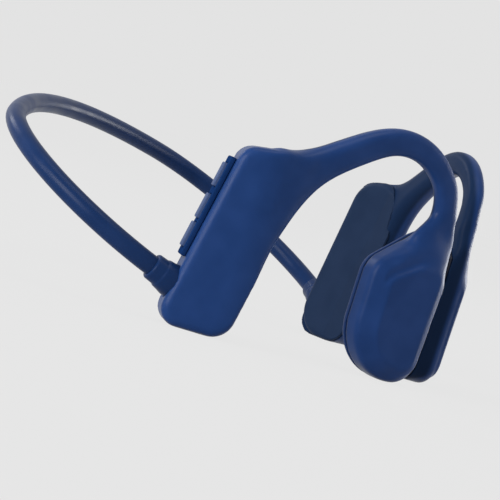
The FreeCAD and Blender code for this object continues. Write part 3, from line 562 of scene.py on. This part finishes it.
@dataclass(frozen=True)
class PodFacet:
    """The broad bevel between the face plate and the rim of a pod, widest at the rear.

    The outline is that of the pod, by x forward of the driver axis and height. Front_* say where
    the bevel turns to its front size, and fade_* where it ends under the hook. Hollow_* say from
    where on a point belongs to the pod's hollow, which keeps a wall behind the bevel.
    """

    plan: ArmPlan
    outline: tuple[tuple[float, float], ...] = (
        (-10.2, 0.0), (9.0, 0.0), (10.2, 31.0), (2.9, 36.0), (-10.2, 25.4)
    )
    rounds: tuple[float, ...] = (12.5, 6.0, 0.0, 0.0, 6.0)
    drop_rear: float = 2.5
    drop_front: float = 1.45
    wide_rear: float = 3.9
    wide_front: float = 2.7
    wall: float = 1.0
    half_span: float = 12.0
    top: float = 33.0
    depth: float = 5.0
    front_from: float = 0.5
    front_over: float = 8.0
    fade_from: float = 27.0
    fade_over: float = 5.0
    hollow_inset: float = 0.9
    hollow_deep: float = 1.9
    arc_steps: int = 10

    def rim(self) -> np.ndarray:
        """Walk round the outline with its round corners.

        Returns:
            One row of x and height for each point.
        """
        points = []
        count = len(self.outline)
        for i, (corner, radius) in enumerate(zip(self.outline, self.rounds)):
            here, before, after = (Vector(self.outline[k % count]) for k in (i, i - 1, i + 1))
            if not radius:
                points.append(here)
                continue
            back, ahead = (before - here).normalized(), (after - here).normalized()
            half = back.angle(ahead) / 2
            middle = here + (back + ahead).normalized() * radius / math.sin(half)
            run = radius / math.tan(half)
            first, last = here + back * run - middle, here + ahead * run - middle
            turn = first.angle_signed(last)
            for k in range(self.arc_steps + 1):
                angle = -turn * k / self.arc_steps
                c, n = math.cos(angle), math.sin(angle)
                points.append(middle + Vector((first.x * c - first.y * n, first.x * n + first.y * c)))
        return np.array([(p.x, p.y) for p in points])

    def cut(self, place: np.ndarray) -> np.ndarray:
        """Push the points that stand proud of the bevel down to it.

        Args:
            place: points in millimetres, on the right side.

        Returns:
            The points with the bevel.
        """
        corner, along, inward = (np.array(v) for v in self.plan.pod_axes())
        away = place - corner
        x, deep, z = away @ along - self.plan.pod_run, away @ inward + self.plan.pod_proud, place[:, 2]
        near = (np.abs(x) < self.half_span) & (z < self.top) & (deep < self.depth)
        rim = self.rim()
        start, run = rim, np.roll(rim, -1, axis=0) - rim
        flat = np.stack([x[near], z[near]], axis=1)
        reach = flat[:, None, :] - start
        share = np.clip((reach * run).sum(2) / (run * run).sum(1), 0, 1)
        inset = np.linalg.norm(reach - share[:, :, None] * run, axis=2).min(axis=1)
        front = eased((x[near] - self.front_from) / self.front_over)
        wide = self.wide_rear + (self.wide_front - self.wide_rear) * front
        high = eased((z[near] - self.fade_from) / self.fade_over)
        drop = self.drop_rear + (self.drop_front - self.drop_rear) * front
        limit = drop * (1 - inset / wide) * (1 - high)
        hollow = (inset > self.hollow_inset) & (deep[near] > self.hollow_deep)
        limit = np.where(hollow, np.minimum(limit, self.hollow_deep) + self.wall, limit)
        moved = place.copy()
        moved[near] += np.maximum(limit - deep[near], 0)[:, None] * inward
        return moved


@dataclass(frozen=True)
class Zone:
    """A stretch of the arm where two forms flow together."""

    start: Vector
    end: Vector
    reach: float
    passes: int
    pull: float = 0.55

    def weights(self, place: np.ndarray) -> np.ndarray:
        """Pull for each point, falling to nothing at the zone's reach.

        Args:
            place: points in millimetres on the right side.

        Returns:
            One share for each point.
        """
        a, b = np.array(self.start), np.array(self.end)
        run = b - a
        share = np.clip(((place - a) @ run) / max(run @ run, 1e-9), 0, 1)
        away = np.linalg.norm(place - (a + share[:, None] * run), axis=1)
        return self.pull * eased(1 - away / self.reach)


@dataclass(frozen=True)
class Web:
    """A round web that fills the corner between two forms, before they are made one skin."""

    start: Vector
    end: Vector
    radius: float
    beads: int = 9

    def add(self, mesh: bpy.types.Mesh, turn: np.ndarray) -> None:
        """Add the web's beads to a mesh.

        Args:
            mesh: the mesh, in metres.
            turn: signs that take the right side to the side in hand.
        """
        work = bmesh.new()
        work.from_mesh(mesh)
        for i in range(self.beads):
            middle = self.start.lerp(self.end, i / (self.beads - 1))
            place = Matrix.Translation(Vector([c * float(sign) * MM for c, sign in zip(middle, turn)]))
            bmesh.ops.create_icosphere(work, subdivisions=3, radius=self.radius * MM, matrix=place)
        work.to_mesh(mesh)
        work.free()


@dataclass
class MouldedSkin:
    """A seamless moulded skin over a CAD solid: remeshed finely, evened and blended.

    Shape moves its points, again remeshes it after that, and tone gives each point its share of
    the finish's inner colour. All three see the right side, in millimetres.
    """

    node: str
    body: str
    finish: Finish
    slot: str
    voxel: float = 0.38
    passes: int = 3
    zones: Sequence[Zone] = field(default_factory=tuple)
    shape: Optional[Shape] = None
    webs: Sequence[Web] = field(default_factory=tuple)
    tone: Optional[Shape] = None
    again: bool = False

    def gridded(self, piece: bpy.types.Object) -> bpy.types.Object:
        """Remesh a piece to an even grid.

        Args:
            piece: an object at the origin.

        Returns:
            The same object with its new mesh.
        """
        remesh = piece.modifiers.new("even_grid", "REMESH")
        remesh.mode = "VOXEL"
        remesh.voxel_size = self.voxel * MM
        return settled(piece)

    def build(self, nodes: dict[str, bpy.types.Object]) -> bpy.types.Object:
        """Make the skin and let it stand for its node.

        Args:
            nodes: the CAD nodes' objects by name.

        Returns:
            The skin.
        """
        turn = np.array((1.0, -1.0 if self.body == Side.LEFT.body else 1.0, 1.0))
        mesh = merged_copy(nodes[self.node])
        for web in self.webs:
            web.add(mesh, turn)
        piece = self.gridded(linked(self.node + "_skin", mesh, self.finish))
        if self.shape:
            moved = self.shape(points_of(piece.data) / MM * turn) * turn * MM
            piece.data.vertices.foreach_set("co", moved.ravel())
            piece.data.update()
            if self.again:
                piece = self.gridded(piece)
        relax(piece.data, self.passes, 0.5, True)
        for zone in self.zones:
            relax(piece.data, zone.passes, zone.weights(points_of(piece.data) / MM * turn), False)
        if self.tone:
            share = self.tone(points_of(piece.data) / MM * turn)
            piece.data.attributes.new(INNER_TONE_AND_SHADE, "FLOAT", "POINT").data.foreach_set("value", share)
        smooth_shade(piece.data)
        stand_in(piece, self.body, self.slot, self.node)
        return piece


@dataclass(frozen=True)
class Strand:
    """One round strand of the neckband: how far it starts inside the box and where it lies."""

    name: str
    inner: float
    lift: float
    diameter: float
    sides: int
    finish: Finish
    slot: str
    nodes: tuple[str, ...]


class TubeTree:
    """A node tree that lays a round tube along a curve."""

    def __init__(self) -> None:
        """Build the tree with its named inputs."""
        tree = bpy.data.node_groups.new("tube_along_path", "GeometryNodeTree")
        face = tree.interface
        face.new_socket("Path", in_out="INPUT", socket_type="NodeSocketGeometry")
        radius = face.new_socket("Radius", in_out="INPUT", socket_type="NodeSocketFloat")
        sides = face.new_socket("Sides", in_out="INPUT", socket_type="NodeSocketInt")
        skin = face.new_socket("Skin", in_out="INPUT", socket_type="NodeSocketMaterial")
        face.new_socket("Tube", in_out="OUTPUT", socket_type="NodeSocketGeometry")
        self.tree = tree
        self.radius, self.sides, self.skin = radius.identifier, sides.identifier, skin.identifier
        into, out = tree.nodes.new("NodeGroupInput"), tree.nodes.new("NodeGroupOutput")
        ring = tree.nodes.new("GeometryNodeCurvePrimitiveCircle")
        sweep = tree.nodes.new("GeometryNodeCurveToMesh")
        sweep.inputs["Fill Caps"].default_value = True
        shade = tree.nodes.new("GeometryNodeSetShadeSmooth")
        whole = tree.nodes.new("GeometryNodeRealizeInstances")
        paint = tree.nodes.new("GeometryNodeSetMaterial")
        for source, target in (
            (into.outputs["Path"], sweep.inputs["Curve"]),
            (into.outputs["Radius"], ring.inputs["Radius"]),
            (into.outputs["Sides"], ring.inputs["Resolution"]),
            (ring.outputs["Curve"], sweep.inputs["Profile Curve"]),
            (sweep.outputs["Mesh"], shade.inputs["Geometry"]),
            (shade.outputs["Geometry"], whole.inputs["Geometry"]),
            (whole.outputs["Geometry"], paint.inputs["Geometry"]),
            (into.outputs["Skin"], paint.inputs["Material"]),
            (paint.outputs["Geometry"], out.inputs["Tube"]),
        ):
            tree.links.new(source, target)

    def tube(self, strand: Strand, line: Sequence[Vector]) -> bpy.types.Object:
        """Lay a tube along points.

        Args:
            strand: its name, diameter, sides and finish.
            line: points in millimetres.

        Returns:
            A plain mesh object.
        """
        curve = bpy.data.curves.new(strand.name, "CURVE")
        curve.dimensions = "3D"
        spline = curve.splines.new("POLY")
        spline.points.add(len(line) - 1)
        for point, place in zip(spline.points, line):
            point.co = (*(place * MM), 1.0)
        piece = bpy.data.objects.new(strand.name, curve)
        bpy.context.scene.collection.objects.link(piece)
        grow = piece.modifiers.new("tube", "NODES")
        grow.node_group = self.tree
        grow[self.radius] = strand.diameter / 2 * MM
        grow[self.sides] = strand.sides
        grow[self.skin] = strand.finish.material()
        piece = settled(piece)
        smooth_shade(piece.data)
        return piece


@dataclass
class Neckband:
    """Sleeve, core wire, cable and the two collars.

    Bend, half the length over which the band would give when the two halves spring apart, is not used.
    """

    plan: BandPlan = field(default_factory=BandPlan)
    bend: float = 26.0
    wire_diam: float = 1.2
    wire_lift: float = -0.65
    cable_diam: float = 1.0
    cable_lift: float = 0.75
    tail: float = 6.0
    collar_in: float = 3.0
    collar_diam: float = 6.9
    collar_step: float = 6.1
    collar_sides: int = 48
    collar_edge: float = 0.12
    collar_sharp: float = math.radians(35)
    grip: float = 0.25

    def strands(self) -> tuple[Strand, ...]:
        """List the strands.

        Returns:
            The sleeve, the core wire and the cable.
        """
        halves = ("neckband_sleeve_right", "neckband_sleeve_left")
        return (
            Strand(
                "neckband_sleeve", self.collar_in, 0.0, self.plan.sleeve_diam, 40, BAND_SKIN, "band_skin", halves
            ),
            Strand(
                "neckband_core", self.tail, self.wire_lift, self.wire_diam, 12, STEEL, "spring_steel",
                ("neckband_wire",),
            ),
            Strand(
                "neckband_lead", self.tail, self.cable_lift, self.cable_diam, 12, LEAD, "lead_skin",
                ("neckband_cable",),
            ),
        )

    def build(self) -> None:
        """Make the band's pieces."""
        trees = TubeTree()
        middle = self.plan.line(0.0)
        for strand in self.strands():
            piece = trees.tube(strand, self.plan.line(strand.inner, strand.lift))
            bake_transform(piece)
            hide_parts(*strand.nodes)
            log.info("%s: %d faces", strand.name, len(piece.data.polygons))
        for side in Side:
            self.collar(side)

    def collar_profile(self) -> list[tuple[float, float]]:
        """Draw the stepped collar's section.

        Returns:
            Pairs of run from the box wall and radius: inner end, thick part, step, thin end.
        """
        out, root, tip = self.plan.collar_out, self.collar_diam / 2, self.collar_step / 2
        step, band = out * 0.6, self.plan.sleeve_diam / 2 - self.grip
        inner_end = [(-self.collar_in, band), (-self.collar_in, root - 0.2), (-self.collar_in + 0.2, root)]
        thick_part = [(0.4, root + 0.25), (1.6, root), (step - 0.7, root - 0.12), (step - 0.45, root - 0.22)]
        thin_part = [(step - 0.35, tip + 0.1), (step - 0.1, tip), (out - 0.45, tip - 0.06)]
        thin_end = [(out - 0.12, tip - 0.2), (out, tip - 0.5), (out, band)]
        return inner_end + thick_part + thin_part + thin_end

    def collar(self, side: Side) -> None:
        """Make the stepped strain relief where the band leaves a box.

        Args:
            side: the box's side.
        """
        work = bmesh.new()
        sides = self.collar_sides
        heading = self.plan.exit_heading
        across = heading.cross(Vector((0, 0, 1))).normalized()
        over = heading.cross(across)
        rings = []
        for run, radius in self.collar_profile():
            middle = self.plan.exit_point + heading * run
            ring = []
            for i in range(sides):
                angle = 2 * math.pi * i / sides
                point = middle + (across * math.cos(angle) + over * math.sin(angle)) * radius
                ring.append(work.verts.new((point.x * MM, point.y * MM * -side.value, point.z * MM)))
            rings.append(ring)
        for first, second in zip(rings, rings[1:] + rings[:1]):
            for i in range(sides):
                j = (i + 1) % sides
                work.faces.new((first[i], first[j], second[j], second[i]))
        bmesh.ops.recalc_face_normals(work, faces=work.faces)
        mesh = bpy.data.meshes.new(f"{side.label}_collar")
        work.to_mesh(mesh)
        work.free()
        piece = linked(f"{side.label}_collar", mesh, BAND_SKIN)
        bevel = piece.modifiers.new("soft_edges", "BEVEL")
        bevel.width = self.collar_edge * MM
        bevel.segments = 2
        bevel.limit_method = "ANGLE"
        bevel.angle_limit = self.collar_sharp
        piece = settled(piece)
        smooth_shade(piece.data)
        stand_in(piece, side.body, "band_skin", f"{side.label}_band_collar")


@dataclass
class Arms:
    """Both arm mouldings, their covers and contact pads.

    Split_* are depths under the outer face where the inner colour starts; the front split is how much
    nearer the outer face it starts on the pod's front side wall, where it is painted shade.
    """

    plan: ArmPlan = field(default_factory=ArmPlan)
    box_width: float = 16.0
    box_lean: float = math.radians(10.6)
    cover_top: float = 10.0
    slope_wide: float = 4.6
    slope_drop: float = 1.0
    pod_middle: float = 17.0
    pod_half_width: float = 10.2
    cap_inset: float = 0.15
    gasket_inset: float = 0.4
    pad_deep: float = 8.6
    pad_over: float = 0.5
    split_hook: float = 2.7
    split_pod: float = 5.3
    split_front_painted_shade: float = 3.2
    split_over: float = 1.3
    split_box: float = 7.8
    split_box_over: float = 0.4

    def ridge(self, place: np.ndarray) -> np.ndarray:
        """Slope the front of an inner cover down from a ridge.

        Args:
            place: the cover's points in millimetres, on the right side.

        Returns:
            The points with the slope.
        """
        origin, along, inward = (np.array(v) for v in self.plan.box_axes())
        deep = (place - origin) @ inward
        run = ((place - origin) @ along) - place[:, 2] * math.tan(self.box_lean)
        share = np.clip((run - (self.box_width - self.slope_wide)) / self.slope_wide, 0, 1)
        limit = self.cover_top - self.slope_drop * share
        lower = np.maximum(deep - limit, 0)
        return place - lower[:, None] * inward

    def tucked(self, place: np.ndarray, inset: float) -> np.ndarray:
        """Draw a pod piece in towards the pod's middle.

        Args:
            place: points in millimetres, on the right side.
            inset: how far at the rim.

        Returns:
            The points drawn in.
        """
        corner, along, _ = (np.array(v) for v in self.plan.pod_axes())
        up = np.array((0.0, 0.0, 1.0))
        x = (place - corner) @ along - self.plan.pod_run
        z = place[:, 2] - self.pod_middle
        share = inset / self.pod_half_width
        return place - (x * share)[:, None] * along - (z * share * 0.6)[:, None] * up

    def tucked_cap(self, place: np.ndarray) -> np.ndarray:
        """The cap's points, drawn in a little behind the shell's edge."""
        return self.tucked(place, self.cap_inset)

    def tucked_gasket(self, place: np.ndarray) -> np.ndarray:
        """The gasket's points, drawn in to leave a thin seam."""
        return self.tucked(place, self.gasket_inset)

    def pad_tone(self, place: np.ndarray) -> np.ndarray:
        """Give a cap its dark tone: none on its rim, all on its face.

        Args:
            place: points in millimetres, on the right side.

        Returns:
            The inner colour's share at each point.
        """
        corner, _, inward = (np.array(v) for v in self.plan.pod_axes())
        deep = (place - corner) @ inward + self.plan.pod_proud
        return eased((deep - self.pad_deep) / self.pad_over)

    def inner_tone_and_shade(self, place: np.ndarray) -> np.ndarray:
        """Give an arm its slate tone on the faces turned to the head, and painted shade on the pod's front side
        wall.

        Args:
            place: points in millimetres, on the right side.

        Returns:
            The inner colour's share at each point.
        """
        origin, _, box_in = (np.array(v) for v in self.plan.box_axes())
        corner, pod_along, pod_in = (np.array(v) for v in self.plan.pod_axes())
        box_deep, pod_deep = (place - origin) @ box_in, (place - corner) @ pod_in
        run = (place - corner) @ pod_along
        on_pod = eased((run - 30.0) / 4.0) * eased((35.0 - place[:, 2]) / 4.0)
        # painted shade: on the pod's front side wall the dark tone starts nearer the outer face, for the shadow
        # that falls there
        front = eased((run - self.plan.pod_run - 5.5) / 3.0)
        start = self.split_hook + (self.split_pod - self.split_hook - self.split_front_painted_shade * front) * on_pod
        hook = eased((pod_deep - start) / self.split_over)
        box = eased((box_deep - self.split_box) / self.split_box_over)
        ahead = eased((run - 1.0) / 8.0)
        return box * (1 - ahead) + hook * ahead

    def zones(self) -> tuple[Zone, ...]:
        """List where the hook flows into the box and into the pod.

        Returns:
            The hook's root, the box's top, the inner bend, the hook's front edge and its foot.
        """
        p = self.plan
        return (
            Zone(p.along_pod(4.0, 1.0, 22.0), p.along_pod(9.5, 1.0, 45.0), 7.5, 60),
            Zone(p.along_box(15.6, 5.5, 46.6), p.along_box(19.0, 4.0, 44.0), 5.5, 60),
            Zone(p.along_pod(43.0, 2.0, 32.5), p.along_pod(48.8, 2.0, 41.0), 5.5, 60),
            Zone(p.along_pod(53.6, 3.0, 27.0), p.along_pod(53.4, 3.0, 36.0), 4.5, 60),
            Zone(p.along_pod(49.0, 1.0, 31.5), p.along_pod(54.5, 1.0, 29.5), 6.0, 110),
        )

    def cap_zones(self) -> tuple[Zone, ...]:
        """List the two corners of a cap that are worn round.

        Returns:
            The upper corner and the front corner.
        """
        p = self.plan
        return (
            Zone(p.along_pod(47.4, 4.0, 36.0), p.along_pod(47.4, 9.5, 36.0), 5.0, 80),
            Zone(p.along_pod(54.7, 4.0, 31.0), p.along_pod(54.7, 9.5, 31.0), 5.0, 80),
        )

    def webs(self) -> tuple[Web, ...]:
        """List what fills the bend between hook and pod.

        Returns:
            One web.
        """
        p = self.plan
        return (Web(p.along_pod(44.0, 3.0, 32.8), p.along_pod(49.6, 3.0, 40.6), 2.0),)

    def build(self, nodes: dict[str, bpy.types.Object]) -> None:
        """Make the skins.

        Args:
            nodes: the CAD nodes' objects by name.
        """
        for side in Side:
            MouldedSkin(
                f"{side.label}_arm_shell", side.body, SOFT_SHELL, "soft_shell", zones=self.zones(),
                webs=self.webs(), shape=PodFacet(self.plan).cut, tone=self.inner_tone_and_shade, again=True,
            ).build(nodes)
            MouldedSkin(
                f"{side.label}_pod_cap", side.body, CONTACT_PAD, "contact_pad", voxel=0.3, passes=3,
                shape=self.tucked_cap, tone=self.pad_tone, zones=self.cap_zones(),
            ).build(nodes)
            MouldedSkin(
                f"{side.label}_pod_gasket", side.body, SEAL, "seal", voxel=0.15, passes=1,
                shape=self.tucked_gasket,
            ).build(nodes)
            MouldedSkin(
                f"{side.label}_box_cover", side.body, INNER_COVER, "inner_cover", voxel=0.3, passes=2,
                shape=self.ridge,
            ).build(nodes)


@dataclass
class KeyStrip:
    """The raised strip and its three keys, with softened edges."""

    edge: float = 0.35
    key_edge: float = 0.55
    flat: float = math.radians(2)
    sharp: float = math.radians(50)

    def build(self, nodes: dict[str, bpy.types.Object]) -> None:
        """Make the softened copies.

        Args:
            nodes: the CAD nodes' objects by name.
        """
        strip = self.softened(nodes["button_bezel"], KEY_STRIP, self.edge)
        stand_in(strip, Side.RIGHT.body, "trim", "button_bezel")
        for label in ("power", "volume_up", "volume_down"):
            key = self.softened(nodes[f"{label}_button"], KEY_CAP, self.key_edge)
            stand_in(key, f"{label}_key", "key_cap", f"{label}_button")

    def softened(self, node: bpy.types.Object, finish: Finish, edge: float) -> bpy.types.Object:
        """Copy a node and round its edges.

        Args:
            node: the CAD node's object.
            finish: the copy's finish.
            edge: the radius of its edges in millimetres.

        Returns:
            The copy.
        """
        mesh = merged_copy(node)
        work = bmesh.new()
        work.from_mesh(mesh)
        bmesh.ops.dissolve_limit(work, angle_limit=self.flat, verts=work.verts, edges=work.edges)
        work.to_mesh(mesh)
        work.free()
        piece = linked(node.name + "_piece", mesh, finish)
        bevel = piece.modifiers.new("round_edges", "BEVEL")
        bevel.width = edge * MM
        bevel.segments = 4
        bevel.limit_method = "ANGLE"
        bevel.use_clamp_overlap = True
        piece = settled(piece)
        smooth_shade(piece.data)
        piece.data.set_sharp_from_angle(angle=self.sharp)
        return piece


# --- studio -------------------------------------------------------------------------------------------


@dataclass
class Softbox:
    """One area lamp, aimed at the object."""

    name: str
    place: tuple[float, float, float]
    size: tuple[float, float]
    power: float
    aim: tuple[float, float, float] = (0.0, 0.0, 0.03)

    def build(self) -> None:
        """Hang the lamp."""
        lamp = bpy.data.lights.new(self.name, "AREA")
        lamp.shape = "RECTANGLE"
        lamp.size, lamp.size_y = self.size
        lamp.energy = self.power
        holder = bpy.data.objects.new(self.name, lamp)
        bpy.context.scene.collection.objects.link(holder)
        turn = (Vector(self.place) - Vector(self.aim)).to_track_quat("Z", "Y").to_matrix().to_4x4()
        holder.matrix_world = Matrix.Translation(self.place) @ turn


@dataclass
class Studio:
    """Camera, floor, world and lamps.

    Fill is the world's light on the object and backdrop the pale ground's tone. Shade is how much
    of the floor takes shadows, and floor_tone is what it gives back to the object.
    """

    arm: ArmPlan = field(default_factory=ArmPlan)
    camera_from_corner: tuple[float, float, float] = (160.053, -481.033, 43.0)
    right: tuple[float, float, float] = (0.9004, 0.3146, 0.3004)
    back: tuple[float, float, float] = (0.3162, -0.9476, 0.0444)
    lens: float = 171.6
    backdrop: float = 0.768
    fill: float = 0.34
    shade: float = 0.03
    floor_half: float = 4.0
    floor_tone: float = 0.72
    lamps: Sequence[Softbox] = field(default_factory=lambda: (
        Softbox("key_softbox", (-0.42, -0.90, 0.32), (0.55, 0.55), 9.5),
        Softbox("edge_strip", (-0.72, -0.56, 0.10), (0.10, 0.5), 2.0),
        Softbox("top_softbox", (0.05, -0.10, 0.95), (0.7, 0.5), 2.5),
        Softbox("rim_strip", (0.80, 0.45, 0.25), (0.12, 0.6), 1.5),
        Softbox("back_softbox", (0.50, 0.82, 0.10), (0.45, 0.35), 4.0),
        Softbox("rear_strip", (-0.90, 0.30, 0.45), (0.20, 0.3), 1.5),
    ))

    def build(self) -> None:
        """Set up the whole studio."""
        self.camera()
        self.world()
        self.floor()
        for lamp in self.lamps:
            lamp.build()
        bpy.context.scene.view_settings.view_transform = "Standard"

    def camera(self) -> None:
        """The camera at the object's portrait angle."""
        data = bpy.data.cameras.new("portrait_camera")
        data.lens = self.lens
        data.sensor_width = 36.0
        data.clip_start = 0.01
        holder = bpy.data.objects.new("portrait_camera", data)
        bpy.context.scene.collection.objects.link(holder)
        right, back = Vector(self.right).normalized(), Vector(self.back).normalized()
        turn = Matrix((right, back.cross(right), back)).transposed().to_4x4()
        corner = self.arm.corner
        place = Vector((corner.x, corner.y, 0)) + Vector(self.camera_from_corner)
        holder.matrix_world = Matrix.Translation(place * MM) @ turn
        bpy.context.scene.camera = holder

    def shown(self, tree: bpy.types.NodeTree) -> bpy.types.NodeSocket:
        """The share of rays that see the pale ground itself.

        Args:
            tree: the node tree that needs it.

        Returns:
            A socket that is 1 on camera, glossy and transmission rays, and 0 on the rest.
        """
        path = tree.nodes.new("ShaderNodeLightPath")
        share = path.outputs["Is Camera Ray"]
        for label in ("Is Glossy Ray", "Is Transmission Ray"):
            either = tree.nodes.new("ShaderNodeMath")
            either.operation = "MAXIMUM"
            tree.links.new(share, either.inputs[0])
            tree.links.new(path.outputs[label], either.inputs[1])
            share = either.outputs[0]
        return share

    def world(self) -> None:
        """Even fill light, and the plain pale ground that the camera sees."""
        world = bpy.data.worlds.new("studio")
        bpy.context.scene.world = world
        world.use_nodes = True
        tree = world.node_tree
        tree.nodes.clear()
        out = tree.nodes.new("ShaderNodeOutputWorld")
        mix = tree.nodes.new("ShaderNodeMixShader")
        light, seen = tree.nodes.new("ShaderNodeBackground"), tree.nodes.new("ShaderNodeBackground")
        light.inputs["Color"].default_value = (1, 1, 1, 1)
        light.inputs["Strength"].default_value = self.fill
        seen.inputs["Color"].default_value = (self.backdrop,) * 3 + (1,)
        tree.links.new(self.shown(tree), mix.inputs["Fac"])
        tree.links.new(light.outputs[0], mix.inputs[1])
        tree.links.new(seen.outputs[0], mix.inputs[2])
        tree.links.new(mix.outputs[0], out.inputs["Surface"])

    def floor(self) -> None:
        """A plain pale floor that keeps a faint shadow."""
        work = bmesh.new()
        bmesh.ops.create_grid(work, x_segments=1, y_segments=1, size=self.floor_half)
        mesh = bpy.data.meshes.new("floor")
        work.to_mesh(mesh)
        work.free()
        made = bpy.data.materials.new("floor_paint")
        made.use_nodes = True
        tree = made.node_tree
        tree.nodes.clear()
        out = tree.nodes.new("ShaderNodeOutputMaterial")
        labels = ("MixShader", "AddShader", "Emission", "BsdfDiffuse", "BsdfDiffuse")
        mix, add, glow, faint, plain = (tree.nodes.new("ShaderNode" + label) for label in labels)
        glow.inputs["Color"].default_value = (self.backdrop - self.shade * self.fill,) * 3 + (1,)
        faint.inputs["Color"].default_value = (self.shade,) * 3 + (1,)
        plain.inputs["Color"].default_value = (self.floor_tone,) * 3 + (1,)
        tree.links.new(glow.outputs[0], add.inputs[0])
        tree.links.new(faint.outputs[0], add.inputs[1])
        tree.links.new(self.shown(tree), mix.inputs["Fac"])
        tree.links.new(plain.outputs[0], mix.inputs[1])
        tree.links.new(add.outputs[0], mix.inputs[2])
        tree.links.new(mix.outputs[0], out.inputs["Surface"])
        mesh.materials.append(made)
        piece = bpy.data.objects.new("floor", mesh)
        bpy.context.scene.collection.objects.link(piece)


def dress_nodes(nodes: dict[str, bpy.types.Object]) -> None:
    """Give the CAD nodes that stay as they are their finishes.

    Args:
        nodes: the CAD nodes' objects by name.
    """
    for finish, names in NODE_FINISH.items():
        for name in names:
            nodes[name].data.materials.clear()
            nodes[name].data.materials.append(finish.material())


def main() -> None:
    """Build the looks around the frame."""
    logging.basicConfig(level=logging.INFO, format="%(name)s: %(message)s")
    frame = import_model()
    nodes = frame["nodes"]
    dress_nodes(nodes)
    Arms().build(nodes)
    KeyStrip().build(nodes)
    Neckband().build()
    Studio().build()


if __name__ == "__main__":
    main()
